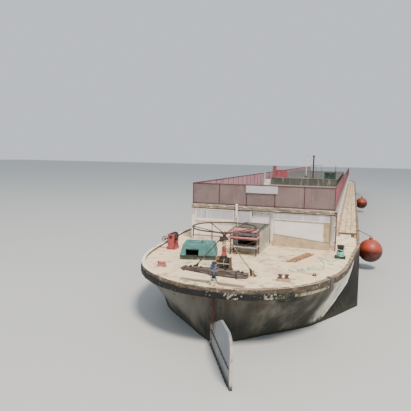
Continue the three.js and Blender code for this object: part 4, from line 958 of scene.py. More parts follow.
def roof_gear():
    """Trim of the locker, stove pipe, mast and steps."""
    mesh = bmesh.new()
    for x in (0.78, 1.13):
        for y in (TRUNK + 0.14, TRUNK + 0.4):
            cuboid(mesh, (x - 0.024, y - 0.026, TRUNK_TOP + 0.012),
                   (x + 0.024, y + 0.026, TRUNK_TOP + 0.206))
    detail(mesh, "locker_corner_posts", "teal_dark", "roof_locker", 0.003)
    mesh = bmesh.new()
    for x in (0.84, 1.07):
        cuboid(mesh, (x - 0.015, TRUNK + 0.104, TRUNK_TOP + 0.16),
               (x + 0.015, TRUNK + 0.111, TRUNK_TOP + 0.243))
    handle = TRUNK_TOP + 0.15
    rod(mesh, (0.89, TRUNK + 0.092, handle), (1.02, TRUNK + 0.092, handle), 0.005, 10)
    for x in (0.89, 1.02):
        rod(mesh, (x, TRUNK + 0.121, handle), (x, TRUNK + 0.09, handle), 0.005, 10)
    detail(mesh, "locker_hasps", "iron", "roof_locker", 0.001)
    mesh = bmesh.new()
    pipe = Vector((0.31, TRUNK + 0.5, TRUNK_TOP))
    for height in (0.012, 0.42, 0.8):
        hoop(mesh, pipe + up(height), 0.0275, 0.004, 32, 8)
    cowl = [(0, 0.836), (0.046, 0.84), (0.056, 0.832), (0.053, 0.846), (0.018, 0.888), (0, 0.893)]
    turned(mesh, cowl, 32, pipe)
    detail(mesh, "stove_pipe_bands", "iron", "stove_pipe")
    mesh = bmesh.new()
    top = Vector((-0.06, TRUNK + 1.5, TRUNK_TOP + 0.872))
    turned(mesh, [(0, -0.012), (0.018, -0.01), (0.022, 0), (0.016, 0.01), (0, 0.013)], 24, top)
    for x in (-0.125, 0.125):
        hoop(mesh, top + Vector((x, 0, -0.178)), 0.01, 0.003, 20, 8, FORE_AND_AFT)
    detail(mesh, "mast_truck_and_eyes", "iron", "mast")
    mesh = bmesh.new()
    for i in range(3):
        y, step = TRUNK - 0.33 + 0.11 * i, ROOF + 0.07 * (i + 1)
        cuboid(mesh, (-1.47, y - 0.004, step + 0.0003), (-1.255, y + 0.06, step + 0.006))
    detail(mesh, "step_treads", "iron", "roof_steps", 0.001)


roof_gear()


# Steering gear

COLUMN = Vector((-0.085, WALL - 2.31, 0.0))
RING = COLUMN + up(2.253)
HUB = COLUMN + up(2.15)
RING_RADIUS = 0.505


def steering_wheel():
    """The level ring, six spokes down to the hub, the hub, and two handles that hang from the ring."""
    mesh = bmesh.new()
    hoop(mesh, RING, RING_RADIUS, 0.012, 144, 14)
    for i in range(6):
        way = way_at(radians(15 + 60 * i))
        hub, rim = HUB + way * 0.03, RING + way * (RING_RADIUS - 0.009)
        rod(mesh, hub, rim, 0.0078, 12)
        rod(mesh, rim.lerp(hub, 0.085), rim, 0.0115, 12)
        rod(mesh, hub, hub.lerp(rim, 0.11), 0.0125, 12, 0.009)
    detail(mesh, "wheel_ring", "iron_brown", "steering_wheel")
    mesh = bmesh.new()
    turned(mesh, [(0, -0.022), (0.03, -0.022), (0.03, -0.014), (0.044, -0.012), (0.044, 0.012),
                  (0.03, 0.014), (0.026, 0.022), (0.012, 0.022), (0.012, 0.032), (0, 0.034)], 36, HUB)
    for i in range(6):
        place = HUB + up(0.011) + way_at(radians(45 + 60 * i)) * 0.037
        rod(mesh, place, place + up(0.007), 0.0045, 6)
    stands_for(mesh, "steering_wheel", "hub_red")
    mesh = bmesh.new()
    for angle, drop in ((131, 0.13), (187, 0)):
        top = RING + way_at(radians(angle)) * RING_RADIUS
        rod(mesh, top + up(0.01), top - up(0.045 + drop), 0.006, 12)
        turned(mesh, [(0, -0.168), (0.008, -0.166), (0.0105, -0.15), (0.009, -0.11), (0.0115, -0.06),
                      (0.008, -0.045), (0, -0.044)], 16, top - up(drop))
    detail(mesh, "wheel_handles", "iron", "steering_wheel")


steering_wheel()


def cog(mesh, centre, radius, thick, teeth):
    """A toothed wheel on an axis across the barge: a rim, four spokes, a hub and small tapered teeth."""
    centre = Vector(centre)
    half = Vector((thick * 0.8, 0, 0))
    collar(mesh, radius * 0.78, radius * 0.9, thick / 2, 48, centre, ATHWART)
    rod(mesh, centre - half, centre + half, radius * 0.22, 20)
    for i in range(4):
        way = way_at(pi / 4 + i * pi / 2, ATHWART)
        rod(mesh, centre + way * radius * 0.1, centre + way * radius * 0.8, radius * 0.09, 8)
    for i in range(teeth):
        wide = radius * 0.055
        made = cuboid(mesh, (-thick / 2, -wide, radius * 0.86), (thick / 2, wide, radius))
        tips = [vert for vert in made if vert.co.z > radius * 0.95]
        bmesh.ops.scale(mesh, vec=(1, 0.55, 1), verts=tips)
        turn = Matrix.Translation(centre) @ Matrix.Rotation(2 * pi * i / teeth, 4, "X")
        bmesh.ops.transform(mesh, matrix=turn, verts=made)


def steering_column():
    """From the deck up: foot, gear, case, strap, tubes and stay collar, then the stays' bottle screws."""
    x, y = COLUMN.x, COLUMN.y
    deck = deck_z(0)
    plate = deck + 0.024
    case = Vector((x + 0.018, y, plate + 0.11))
    mesh = bmesh.new()
    cuboid(mesh, (x - 0.125, y - 0.11, deck - 0.01), (x + 0.125, y + 0.11, plate))
    for x0, x1 in ((-0.072, -0.06), (0.1, 0.112)):
        made = cuboid(mesh, (x + x0, y - 0.095, plate - 0.002), (x + x1, y + 0.095, plate + 0.195))
        tops = [vert for vert in made if vert.co.z > plate + 0.1]
        bmesh.ops.scale(mesh, vec=(1, 0.55, 1), space=Matrix.Translation((0, -y, 0)), verts=tops)
    corner_bolts(mesh, x, y, plate, 0.105, 0.092, 0.008, 0.007)
    stands_for(mesh, "steering_column", "iron_brown", 0.0015)
    mesh = bmesh.new()
    cog(mesh, (x - 0.095, y, plate + 0.112), 0.092, 0.026, 28)
    detail(mesh, "column_gear_wheel", "winch_brown", "steering_column", 0.0008)
    mesh = bmesh.new()
    turned(mesh, [(0, -0.052), (0.05, -0.052), (0.05, -0.04), (0.086, -0.036), (0.088, -0.028),
                  (0.08, -0.024), (0.08, 0.034), (0.088, 0.038), (0.086, 0.052), (0.06, 0.056),
                  (0.052, 0.07), (0.03, 0.074), (0, 0.074)], 40, case, ATHWART)
    for i in range(8):
        place = case + Vector((0.052, 0, 0)) + way_at(i * pi / 4, ATHWART) * 0.071
        rod(mesh, place, place + Vector((0.012, 0, 0)), 0.006, 6)
    flange = Vector((x, y, plate + 0.215))
    rod(mesh, flange - up(0.05), flange, 0.052, 28)
    bolts(mesh, [flange + way_at(i * pi / 2 + 0.8) * 0.04 for i in range(4)], 0.006, 0.006)
    detail(mesh, "column_gear_case", "iron", "steering_column", 0.001)
    mesh = bmesh.new()
    hoop(mesh, case, 0.0825, 0.004, 48, 8, ATHWART)
    cuboid(mesh, (x - 0.12, y - 0.0955, plate + 0.102), (x + 0.116, y - 0.09, plate + 0.114))
    detail(mesh, "column_green_strap", "pale_green", "steering_column", 0.001)
    mesh = bmesh.new()
    turned(mesh, [(0, 0.212), (0.043, 0.212), (0.045, 0.235), (0.035, 0.255), (0.034, 0.316),
                  (0.04, 0.322), (0.04, 0.346), (0.031, 0.35), (0, 0.35)], 28, (x, y, plate))
    detail(mesh, "column_lower_tube", "hub_red", "steering_column", 0.001)
    mesh = bmesh.new()
    for side in (-1, 1):
        pipe = Vector((x + side * 0.0175, y, plate))
        rod(mesh, pipe + up(0.345), pipe + up(0.47), 0.015, 20)
    clamp = [(0, 0.382), (0.034, 0.382), (0.037, 0.386), (0.037, 0.401), (0.034, 0.405), (0, 0.405)]
    turned(mesh, clamp, 28, (x, y, plate))
    detail(mesh, "column_upper_tube", "flaking_cream", "steering_column", 0.001)
    mesh = bmesh.new()
    turned(mesh, [(0, 2.042), (0.03, 2.042), (0.034, 2.046), (0.05, 2.048), (0.05, 2.082), (0.034, 2.085),
                  (0.026, 2.092), (0.024, 2.1273), (0, 2.1273)], 28, COLUMN)
    for side in (-1, 1):
        lug, pin = x + side * 0.056, x + side * 0.062
        cuboid(mesh, (lug - 0.014, y - 0.007, 2.052), (lug + 0.014, y + 0.007, 2.078))
        rod(mesh, (pin, y - 0.014, 2.064), (pin, y + 0.014, 2.064), 0.005, 8)
    made = cuboid(mesh, (x - 0.075, y - 0.03, 2.02), (x - 0.022, y + 0.022, 2.098))
    bmesh.ops.rotate(mesh, cent=(x, y, 2.06), matrix=Matrix.Rotation(0.3, 3, "Z"), verts=made)
    detail(mesh, "column_stay_collar", "iron", "steering_column", 0.0015)
    mesh = bmesh.new()
    for foot in (-0.53, 0.425):
        base = Vector((foot, y - 0.15, 0))
        corner_bolts(mesh, *base.xy, deck_z(foot) + 0.0157, 0.037, 0.037, 0.006, 0.006)
        lower, upper = base + up(1.595), Vector((x + copysign(0.06, foot), y, 2.062))
        way = (upper - lower).normalized()
        made = cuboid(mesh, (-0.047, -0.005, deck_z(foot) + 0.012), (0.05, 0.005, 1.668))
        for vert in made:
            if vert.co.z > 1.6:
                vert.co.x = 0.06 + copysign(0.014, vert.co.x)
        stand(mesh, made, base, atan2(way.y, way.x))
        rod(mesh, lower + way * 0.03, lower + way * 0.09, 0.0135, 6)
    detail(mesh, "stay_bottle_screws", "rust", "port_column_stay")


steering_column()


# Rudder head: worn baulk, iron bands and a lashing round it

SPLIT_DEPTH = 0.005
WEAR_DEPTH = 0.003


def tiller_beam():
    """The baulk with its grain split and its faces worn uneven, its iron bands and its bolts."""
    mesh = merged("tiller_beam")
    edges = [edge for edge in mesh.edges if edge.is_manifold and edge.calc_face_angle(0) > 0.7]
    bmesh.ops.bevel(mesh, geom=edges, affect="EDGES", offset=0.01, segments=3, profile=0.5, material=-1)
    mesh = even_skin(mesh, size=0.006)
    for vert in mesh.verts:
        place = vert.co.copy()
        groove = noise.noise(Vector((place.x * 2.5, place.y * 55, place.z * 55)))
        wear = abs(noise.noise(place * 9))
        vert.co += vert.normal * (-SPLIT_DEPTH * max(0.0, groove + 0.1) - WEAR_DEPTH * wear)
    stands_for(mesh, "tiller_beam", "timber", angle=60)
    mesh = bmesh.new()
    for x0, x1, z0, z1 in ((-0.47, -0.44, 1.715, 1.77), (0.33, 0.365, 1.69, 1.788)):
        cuboid(mesh, (x0, -0.058, z0), (x1, 0.058, z1))
    for x in (-0.36, -0.2, 0.17, 0.42):
        rod(mesh, (x, 0, 1.765), (x, 0, 1.797), 0.012, 6)
        rod(mesh, (x, 0, 1.765), (x, 0, 1.79), 0.02, 16)
    stand(mesh, mesh.verts, STOCK, BEAM_ANGLE)
    detail(mesh, "beam_bands_and_bolts", "iron_brown", "tiller_beam", 0.001)


tiller_beam()


def lashing():
    """Rope round the beam and the head of the stock, and a ring of rope on the gland."""
    mesh = bmesh.new()
    half, low, high = 0.066, 1.682, 1.799
    turn = Matrix.Translation(STOCK) @ Matrix.Rotation(BEAM_ANGLE, 4, "Z")
    for shift, lean in ((-0.044, 0.008), (0.034, -0.008)):
        near, far = shift - lean, shift + lean
        corners = [(far, -half, low + 0.02), (far, -half + 0.02, low), (shift, half - 0.02, low),
                   (shift, half, low + 0.02), (near, half, high - 0.02), (near, half - 0.02, high),
                   (shift, -half + 0.02, high), (far, -half, high - 0.02)]
        closed_rope(mesh, [turn @ Vector(c) for c in corners], 0.0075)
    for z, reach in ((1.799, 0.034), (1.813, 0.036), (1.827, 0.035), (1.841, 0.035)):
        rope_ring(mesh, *STOCK.xy, lambda angle: z, reach, 0.0065, 12)
    detail(mesh, "beam_lashing", "blue_rope", "tiller_beam", angle=60)
    mesh = bmesh.new()
    for z, reach in ((1.63, 0.036), (1.646, 0.037)):
        rope_ring(mesh, *STOCK.xy, lambda angle: z, reach, 0.008, 12)
    detail(mesh, "gland_rope_ring", "teal_rope", "stock_gland", angle=60)


lashing()


def rudder_details():
    mesh = bmesh.new()
    for z in RIVET_ROWS:
        for y in [-0.1 - 0.115 * i for i in range(9)]:
            for side in (-1, 1):
                rod(mesh, (side * 0.027, y, z), (side * 0.034, y, z), 0.0085, 8)
    for z in (0.13, 0.38, 0.76, 0.985):
        hoop(mesh, (0, 0, z), 0.0365, 0.005, 32, 8)
    stand(mesh, mesh.verts, STOCK, RUDDER_ANGLE)
    detail(mesh, "rudder_rivets_and_bands", "rust", "rudder_blade")
    mesh = bmesh.new()
    turned(mesh, [(0, 1.0), (0.047, 1.001), (0.047, 1.03), (0.036, 1.044), (0.029, 1.05), (0.027, 1.06),
                  (0.027, 1.86), (0.024, 1.866), (0, 1.866)], 32, STOCK)
    nut = [(0, 1.8575), (0.033, 1.8575), (0.036, 1.861), (0.036, 1.883), (0.02, 1.888), (0, 1.888)]
    turned(mesh, nut, 6, STOCK)
    stands_for(mesh, "rudder_stock", "rust")


rudder_details()


# Aft deck gear

def companion_details():
    x0, x1, y0, y1, top = -0.3, 0.21, WALL - 0.88, WALL - 0.024, 1.985
    mesh = bmesh.new()
    for x in (x0 - 0.004, x1 - 0.03):
        for y in (y0 - 0.004, y1 - 0.034):
            cuboid(mesh, (x, y, deck_z(0) + 0.001), (x + 0.034, y + 0.034, top - 0.001))
    for z in (top - 0.032, 1.64):
        cuboid(mesh, (x0 + 0.03, y0 - 0.003, z), (x1 - 0.03, y0 + 0.002, z + 0.03))
        for x, out in ((x0, -0.003), (x1, 0.003)):
            cuboid(mesh, (x, y0 + 0.03, z), (x + out, y1 - 0.034, z + 0.03))
    detail(mesh, "companion_battens", "pale", "companion_box", 0.0015)
    mesh = bmesh.new()
    for y in [y0 + 0.06 + i * 0.135 for i in range(6)]:
        cuboid(mesh, (x1 + 0.0002, y, 1.672), (x1 + 0.0022, y + 0.126, top - 0.036))
        cuboid(mesh, (x0 - 0.0022, y, 1.672), (x0 - 0.0002, y + 0.126, top - 0.036))
    detail(mesh, "companion_boards", "grey_board", "companion_box", 0.0008)
    mesh = bmesh.new()
    for x in (x0 + 0.05, x1 - 0.09):
        cuboid(mesh, (x, y1 - 0.2, top + 0.022), (x + 0.04, y1 - 0.06, top + 0.0245))
    y, left, right = y0 + 0.05, x0 + 0.14, x0 + 0.3
    rod(mesh, (left, y, top + 0.046), (right, y, top + 0.046), 0.005, 10)
    for x in (left, right):
        rod(mesh, (x, y, top + 0.02), (x, y, top + 0.048), 0.005, 10)
    for x in (x0 + 0.02, x1 - 0.05):
        cuboid(mesh, (x, y0, top + 0.0221), (x + 0.03, y1 - 0.06, top + 0.024))
    detail(mesh, "lid_hinges_and_handle", "iron", "companion_lid", 0.001)


companion_details()


def bench():
    """A frame of square bar with a shelf, a seat, a loose slab and a top, on packing pieces."""
    x0, x1, y0, y1 = -0.33, 0.205, WALL - 1.175, WALL - 0.925
    rows = (y0 + 0.012, y1 - 0.012)
    mesh = bmesh.new()
    for x in (x0 + 0.03, x1 - 0.02):
        for y in rows:
            cuboid(mesh, (x - 0.009, y - 0.009, deck_z(0) + 0.0005), (x + 0.009, y + 0.009, 1.997))
        cuboid(mesh, (x - 0.008, y0 + 0.018, 1.845), (x + 0.008, y1 - 0.018, 1.866))
        cuboid(mesh, (x - 0.007, y0 + 0.018, 1.615), (x + 0.007, y1 - 0.018, 1.63))
    for y in rows:
        cuboid(mesh, (x0 + 0.034, y - 0.006, 1.843), (x1 - 0.024, y + 0.006, 1.867))
        rod(mesh, (x0 + 0.034, y, 1.6), (x1 - 0.024, y, 1.84), 0.005, 8)
    stands_for(mesh, "deck_bench", "iron_brown", 0.001)
    for name, material, left, right, low, high, count in (
            ("bench_shelf_boards", "grey_board", x0 + 0.02, x1 - 0.01, 1.7002, 1.715, 3),
            ("bench_seat_boards", "red", x0, x1, 1.868, 1.9, 2),
            ("bench_slab", "blue_grey", x0 + 0.09, x1 - 0.01, 1.925, 1.975, 1),
            ("bench_top_boards", "red", x0 + 0.02, x1 - 0.02, 1.997, 2.024, 2)):
        mesh = bmesh.new()
        deep = (y1 - y0 - 0.006 * (count - 1)) / count
        for i in range(count):
            y = y0 + i * (deep + 0.006)
            cuboid(mesh, (left + 0.004 * (i % 2), y, low), (right - 0.003 * (i % 2), y + deep, high))
        detail(mesh, name, material, "deck_bench", 0.003)
    mesh = bmesh.new()
    for x in (x0 + 0.13, x1 - 0.1):
        for low, high in ((1.9001, 1.9249), (1.9751, 1.9969)):
            cuboid(mesh, (x, y0 + 0.02, low), (x + 0.035, y1 - 0.02, high))
    detail(mesh, "bench_packers", "pale_green", "deck_bench", 0.001)


bench()


def hatch_details():
    base, hood = 1.63, 1.802

    def placed(mesh, name, material, node, bevel):
        stand(mesh, mesh.verts, (-0.778, WALL - 1.525, 0), radians(14))
        detail(mesh, name, material, node, bevel)

    mesh = bmesh.new()
    for x in (-0.215, 0.215):
        cuboid(mesh, (x - 0.016, -0.225, hood + 0.0032), (x + 0.016, 0.225, hood + 0.011))
    cuboid(mesh, (-0.27, -0.016, hood + 0.0031), (0.27, 0.016, hood + 0.009))
    placed(mesh, "hood_battens", "teal", "hatch_hood", 0.0015)
    mesh = bmesh.new()
    for y in (-0.06, 0.06):
        rod(mesh, (0.05, y, hood), (0.05, y, hood + 0.033), 0.006, 10)
    rod(mesh, (0.05, -0.066, hood + 0.031), (0.05, 0.066, hood + 0.031), 0.007, 10)
    for x in (-0.2, 0.2):
        rod(mesh, (x - 0.035, 0.3, base + 0.002), (x + 0.035, 0.3, base + 0.002), 0.008, 12)
        cuboid(mesh, (x - 0.02, 0.27, base + 0.002), (x + 0.02, 0.3, base + 0.009))
    cuboid(mesh, (-0.215, -0.312, base + 0.1), (0.015, -0.272, base + 0.108))
    placed(mesh, "hood_handle_and_hinges", "iron", "hatch_hood", 0.001)
    mesh = bmesh.new()
    for side in (-1, 1):
        cuboid(mesh, (-0.316, side * 0.2955, base - 0.03), (0.316, side * 0.298, base - 0.006))
    placed(mesh, "coaming_rubbing_strips", "iron", "hatch_coaming", 0.0008)


hatch_details()


def winch():
    x, y, axis = -1.49, WALL - 1.08, 1.79
    drum = Vector((x, y, axis))
    aft = Vector(FORE_AND_AFT) * -1
    mesh = bmesh.new()
    turned(mesh, [(0, -0.083), (0.078, -0.083), (0.078, -0.07), (0.056, -0.066), (0.054, 0.066),
                  (0.078, 0.07), (0.078, 0.083), (0, 0.083)], 36, drum, FORE_AND_AFT)
    rod(mesh, drum + aft * 0.125, drum - aft * 0.125, 0.0135, 16)
    stands_for(mesh, "winch_drum", "iron", 0.0015)
    mesh = bmesh.new()
    for i in range(7):
        hoop(mesh, drum + aft * (0.048 - 0.016 * i), 0.06, 0.0065, 40, 8, FORE_AND_AFT)
    detail(mesh, "winch_wire_turns", "wire", "winch_drum")
    mesh = bmesh.new()
    centre = drum - aft * 0.121
    hoop(mesh, centre, 0.07, 0.006, 40, 8, FORE_AND_AFT)
    for i in range(4):
        rod(mesh, centre, centre + way_at(i * pi / 2 + 0.4, FORE_AND_AFT) * 0.068, 0.0045, 8)
    rod(mesh, drum - aft * 0.11, drum - aft * 0.126, 0.02, 16)
    detail(mesh, "winch_hand_wheel", "iron", "winch_drum", 0.0008)
    mesh = bmesh.new()
    corner_bolts(mesh, x, y, 1.6, 0.07, 0.102, 0.006, 0.006)
    for side in (-1, 1):
        turned(mesh, [(0, 0), (0.03, 0), (0.03, 0.004), (0.022, 0.007), (0, 0.007)], 24,
               (x, y + side * 0.1105, axis), (0, side, 0))
    cuboid(mesh, (x - 0.066, y - 0.096, 1.64), (x - 0.06, y + 0.096, 1.69))
    hub = Vector((x - 0.145, y - 0.06, 1.735))
    hoop(mesh, hub, 0.056, 0.0075, 40, 8, FORE_AND_AFT)
    for i in range(5):
        rod(mesh, hub, hub + way_at(i * 1.2566 + 0.3, FORE_AND_AFT) * 0.054, 0.0055, 8)
    rod(mesh, hub + aft * 0.014, hub - aft * 0.045, 0.015, 14)
    rod(mesh, hub - aft * 0.034, (x - 0.06, y + 0.02, 1.735), 0.01, 10)
    detail(mesh, "winch_bolts_and_bearings", "iron", "winch_frame", 0.0008)


winch()


def mooring_details():
    x, y = 1.64, WALL - 0.6
    mesh = bmesh.new()
    for i in range(5):
        rope_ring(mesh, x, y, lambda a: 1.592 + 0.0165 * i + 0.003 * sin(a + i), 0.0635, 0.0085, 16)
    rope_ring(mesh, x, y, lambda a: 1.705 + 0.01 * sin(2 * a), 0.07, 0.0085, 16)
    detail(mesh, "bollard_rope_turns", "teal_rope", "starboard_bollard", angle=60)
    mesh = bmesh.new()
    cuboid(mesh, (0.795, WALL - 2.59, deck_z(0.9) + 0.0004), (1.0, WALL - 2.485, 1.592))
    detail(mesh, "starboard_bitts_base", "ledge", "starboard_bitts", 0.004)
    mesh = bmesh.new()
    spool = [(0, 1.59), (0.036, 1.59), (0.037, 1.598), (0.026, 1.606), (0.023, 1.618), (0.026, 1.63),
             (0.037, 1.638), (0.038, 1.65), (0.012, 1.652), (0, 1.652)]
    for x, y in ((0.85, WALL - 2.55), (0.942, WALL - 2.525)):
        turned(mesh, spool, 28, (x, y, 0))
    stands_for(mesh, "starboard_bitts", "bitts_purple", 0.002)
    mesh = bmesh.new()
    x, y = -1.105, WALL - 2.44
    for place in (x - 0.055, x + 0.045):
        hoop(mesh, (place, y, 1.612), 0.0225, 0.005, 28, 8, ATHWART)
    corner_bolts(mesh, x, y, 1.572, 0.055, 0.032, 0.005, 0.005)
    detail(mesh, "port_bollard_collars", "iron", "port_bollard")
    mesh = bmesh.new()
    y = FORE_WALL + 3.3
    cap = [(0, 1.846), (0.05, 1.846), (0.058, 1.849), (0.058, 1.86), (0.046, 1.868), (0, 1.872)]
    foot = [(0.05, 1.604), (0.066, 1.604), (0.066, 1.612), (0.052, 1.622), (0.05, 1.604)]
    boss = [(0, -0.008), (0.03, -0.006), (0.032, 0), (0.03, 0.006), (0, 0.008)]
    for side in (-1, 1):
        turned(mesh, cap, 28, (side * 0.15, y, 0))
        turned(mesh, foot, 28, (side * 0.15, y, 0))
        turned(mesh, boss, 20, (side * 0.27, y, 1.76), ATHWART)
    corner_bolts(mesh, 0, y, 1.604, 0.225, 0.066, 0.009, 0.008)
    detail(mesh, "bow_bitts_caps", "iron", "bow_bitts", 0.001)


mooring_details()


def rim_fittings():
    """The block over the starboard rim, the deck's planks and eye, and the poles' clips and caps."""
    mesh = bmesh.new()
    cuboid(mesh, (-0.004, -0.04, 1.405), (0.024, 0.04, 1.5985))
    cuboid(mesh, (-0.075, -0.038, 1.5903), (0.02, 0.038, 1.602))
    stand(mesh, mesh.verts, (1.56, WALL - 2.243, 0), atan2(-0.457, 0.889))
    detail(mesh, "rim_chafing_block", "chafe", "aft_deck", 0.005)
    mesh = bmesh.new()
    for start, end in (((0.8, -15.06), (1.06, -14.25)), ((0.885, -15.02), (1.13, -14.29))):
        way = Vector(end) - Vector(start)
        made = cuboid(mesh, (0, -0.04, deck_z(1) + 0.0015), (way.length, 0.04, deck_z(1) + 0.0215))
        stand(mesh, made, (*start, 0), atan2(way.y, way.x))
    detail(mesh, "deck_planks", "brown_plank", "aft_deck", 0.003)
    mesh = bmesh.new()
    eye = Vector((1.3, WALL - 2.05, deck_z(1.3)))
    cuboid(mesh, eye + Vector((-0.035, -0.025, 0.0006)), eye + Vector((0.035, 0.025, 0.009)))
    hoop(mesh, eye + up(0.026), 0.016, 0.006, 28, 8, FORE_AND_AFT)
    detail(mesh, "deck_eye_plate", "rust", "aft_deck", 0.0015)
    mesh = bmesh.new()
    x, y = HOUSE_HALF + 0.025, WALL - 0.045
    for z in (1.72, 2.02, 2.24):
        collar(mesh, 0.0138, 0.0175, 0.01, 24, (x, y, z))
        cuboid(mesh, (x - 0.03, y, z - 0.008), (x - 0.01, WALL - 0.0185, z + 0.008))
    hopper = [(0.0138, -0.022), (0.03, 0.004), (0.031, 0.012), (0.0138, 0.0135), (0.0138, -0.022)]
    turned(mesh, hopper, 24, (x, y, 2.305))
    detail(mesh, "downpipe_clips_and_hopper", "pipe_brown", "downpipe", 0.001)
    mesh = bmesh.new()
    vent = Vector((-0.49, WALL - 0.048, 0))
    cap = [(0.0245, 2.352), (0.0275, 2.352), (0.0275, 2.366), (0.02, 2.3755), (0, 2.378)]
    joint = [(0.0165, 2.094), (0.027, 2.096), (0.027, 2.106), (0.0165, 2.11), (0.0165, 2.094)]
    turned(mesh, cap, 24, vent)
    turned(mesh, joint, 24, vent)
    for z, reach in ((1.7, 0.0175), (2.02, 0.0175), (2.2, 0.0255)):
        collar(mesh, reach - 0.001, reach + 0.003, 0.008, 24, vent + up(z))
    detail(mesh, "vent_cap_and_clips", "white", "vent_pole", 0.0008)
    mesh = bmesh.new()
    for x in (-0.24, 0.29):
        for z in (ROOF + 0.305, ROOF + 0.417):
            rod(mesh, (x, WALL - 0.0215, z), (x, WALL - 0.0265, z), 0.006, 12)
    detail(mesh, "sign_screws", "iron", "sign_board")


rim_fittings()


def walkway():
    """Separate boards of their own lengths, nailed to bearers, with an iron bar across the aft end."""
    x0, wide, slot, top = 1.545, 0.123, 0.008, 1.65
    start, end = WALL + 1.7, FORE_WALL - 0.3
    dice = random.Random(7)
    boards, nails = bmesh.new(), bmesh.new()
    for i in range(3):
        x = x0 + i * (wide + slot)
        y = start
        while y < end - 0.01:
            last = min(end, y + dice.uniform(2.4, 4.2))
            if end - last < 0.8:
                last = end
            sink = dice.uniform(0.0, 0.003)
            cuboid(boards, (x + dice.uniform(0, 0.002), y + 0.002, top - 0.022 - sink),
                   (x + wide - dice.uniform(0, 0.002), last - 0.002, top - sink))
            for place in (y + 0.03, last - 0.03):
                for across in (x + 0.025, x + wide - 0.025):
                    rod(nails, (across, place, top - 0.005), (across, place, top + 0.0012), 0.0045, 6)
            y = last
    stands_for(boards, "walkway_boards", "boards", 0.003)
    detail(nails, "walkway_nails", "iron", "walkway_boards")
    bearers = bmesh.new()
    y = start + 0.006
    while y < end:
        cuboid(bearers, (1.56, y, deck_z(1.82) + 0.001), (1.815, y + 0.09, top - 0.0255))
        y += 1.5
    cuboid(bearers, (1.59, start - 0.095, deck_z(1.6) + 0.001), (1.735, start - 0.0155, 1.604))
    detail(bearers, "walkway_bearers", "white", "walkway_boards", 0.004)
    bar = bmesh.new()
    cuboid(bar, (1.54, start - 0.01, top - 0.028), (1.935, start + 0.0015, top + 0.003))
    for x in (1.57, 1.74, 1.9):
        rod(bar, (x, start - 0.0145, top - 0.012), (x, start - 0.009, top - 0.012), 0.007, 6)
    detail(bar, "walkway_end_bar", "iron_brown", "walkway_boards", 0.0015)


walkway()


def windlass():
    y, axis = FORE_WALL + 2.2, 1.85
    mesh = bmesh.new()
    cog(mesh, (0.128, y, axis), 0.125, 0.022, 36)
    detail(mesh, "windlass_gear_wheel", "iron_brown", "windlass_drum", 0.001)
    mesh = bmesh.new()
    for i in range(9):
        hoop(mesh, (-0.14 + 0.026 * i, y, axis), 0.088, 0.011, 44, 8, ATHWART)
    detail(mesh, "windlass_wire_turns", "wire", "windlass_drum")
    mesh = bmesh.new()
    drum_end = [(0.058, -0.045), (0.066, -0.045), (0.062, -0.02), (0.0605, 0), (0.062, 0.02),
                (0.066, 0.045), (0.058, 0.045), (0.058, -0.045)]
    for side in (-1, 1):
        turned(mesh, drum_end, 32, (side * 0.305, y, axis), ATHWART)
        out = Vector((side, 0, 0))
        centre = Vector((0, y, axis)) + out * 0.35
        for i in range(2):
            way = way_at(0.7 + i * pi, ATHWART)
            grip = centre + way * 0.112
            rod(mesh, centre, centre + way * 0.12, 0.008, 10)
            rod(mesh, grip - out * 0.004, grip + out * 0.009, 0.01, 12)
    detail(mesh, "windlass_ends_and_cranks", "iron", "windlass_drum", 0.001)
    mesh = bmesh.new()
    corner_bolts(mesh, 0, y, 1.61, 0.235, 0.145, 0.01, 0.009)
    for side in (-1, 1):
        collar(mesh, 0.0235, 0.042, 0.022, 28, (side * 0.22, y, axis), ATHWART)
        for z in (1.66, 1.76):
            for place in (y - 0.09, y + 0.09):
                rod(mesh, (side * 0.2325, place, z), (side * 0.2385, place, z), 0.009, 6)
    for z in (1.645, 1.895):
        cuboid(mesh, (-0.207, y + 0.108, z), (0.207, y + 0.122, z + 0.014))
    detail(mesh, "windlass_bearings_and_ties", "iron", "windlass_frame", 0.001)


windlass()


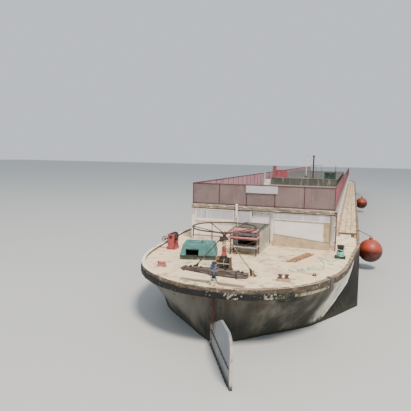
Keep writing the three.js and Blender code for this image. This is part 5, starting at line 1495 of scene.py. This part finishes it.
def fender(node, side, y):
    """A moulded ball with seams, a neck and an eye, hung on a short chain from a bracket over the kerb."""
    radius = 0.284
    ball = Vector((side * 2.289, y, 1.13))
    mesh = bmesh.new()
    angles = [radians(-84 + 6 * i) for i in range(27)]
    profile = [(0, -radius)] + [(radius * cos(a), radius * sin(a)) for a in angles]
    profile += [(0.05, 0.279), (0.046, 0.3), (0.05, 0.308), (0.044, 0.322), (0, 0.325)]
    turned(mesh, profile, 56, ball)
    for axis in (UPRIGHT, ATHWART):
        hoop(mesh, ball, radius - 0.0028, 0.0035, 96, 6, axis)
    stands_for(mesh, node, "vinyl", angle=50)
    mesh = bmesh.new()
    hoop(mesh, ball + up(0.338), 0.02, 0.006, 28, 10, FORE_AND_AFT)
    start, end = ball + Vector((side * -0.008, 0, 0.35)), Vector((side * 2.004, y, KERB_TOP + 0.016))
    way = end - start
    links = max(2, round(way.length / 0.036))
    turn = Vector(ATHWART).rotation_difference(way).to_matrix().to_4x4()
    for i in range(links):
        made = hoop(mesh, (0, 0, 0), 0.0125, 0.0036, 16, 6)
        bmesh.ops.scale(mesh, vec=(1.75, 1, 1), verts=made)
        bmesh.ops.rotate(mesh, matrix=Matrix.Rotation(pi / 2 * (i % 2), 3, "X"), verts=made)
        place = Matrix.Translation(start + way * (i + 0.5) / links) @ turn
        bmesh.ops.transform(mesh, matrix=place, verts=made)
    cuboid(mesh, (side * 1.92, y - 0.01, KERB_TOP + 0.0004), (side * 2.012, y + 0.01, KERB_TOP + 0.01))
    hoop(mesh, (side * 1.998, y, KERB_TOP + 0.017), 0.011, 0.004, 20, 8, FORE_AND_AFT)
    rod(mesh, (side * 1.945, y, KERB_TOP + 0.008), (side * 1.945, y, KERB_TOP + 0.018), 0.008, 6)
    detail(mesh, node + "_chain", "iron", node)


FENDER_AFT, FENDER_FORE = WALL + 2.45, WALL + 15.0
fender("starboard_fender_aft", 1, FENDER_AFT)
fender("starboard_fender_fore", 1, FENDER_FORE)
fender("port_fender_aft", -1, FENDER_AFT)
fender("port_fender_fore", -1, FENDER_FORE)


# Floor and light

def stage():
    mesh = bmesh.new()
    bmesh.ops.create_grid(mesh, x_segments=1, y_segments=1, size=150)
    data = bpy.data.meshes.new("floor")
    mesh.to_mesh(data)
    mesh.free()
    floor = bpy.data.objects.new("floor", data)
    floor.location.z = WATERLINE
    bpy.context.scene.collection.objects.link(floor)
    paper = bpy.data.materials.new("pale_floor")
    paper.use_nodes = True
    shader = paper.node_tree.nodes["Principled BSDF"]
    shader.inputs["Base Color"].default_value = colour("#bcc0c1")
    shader.inputs["Roughness"].default_value = 0.8
    data.materials.append(paper)
    world = bpy.data.worlds.new("studio")
    world.use_nodes = True
    sky = world.node_tree.nodes["Background"]
    sky.inputs["Color"].default_value = colour("#dfe5ec")
    sky.inputs["Strength"].default_value = 0.98
    bpy.context.scene.world = world


def lamp(name, place, target, size, power, tone):
    light = bpy.data.lights.new(name, "AREA")
    light.size = size
    light.energy = power
    light.color = colour(tone)[:3]
    thing = bpy.data.objects.new(name, light)
    bpy.context.scene.collection.objects.link(thing)
    way = Vector(target) - Vector(place)
    thing.matrix_world = Matrix.Translation(place) @ way.to_track_quat("-Z", "Y").to_matrix().to_4x4()


stage()
lamp("key", (13, -32, 36), (0, -12, 1.5), size=8, power=25500, tone="#fff1df")
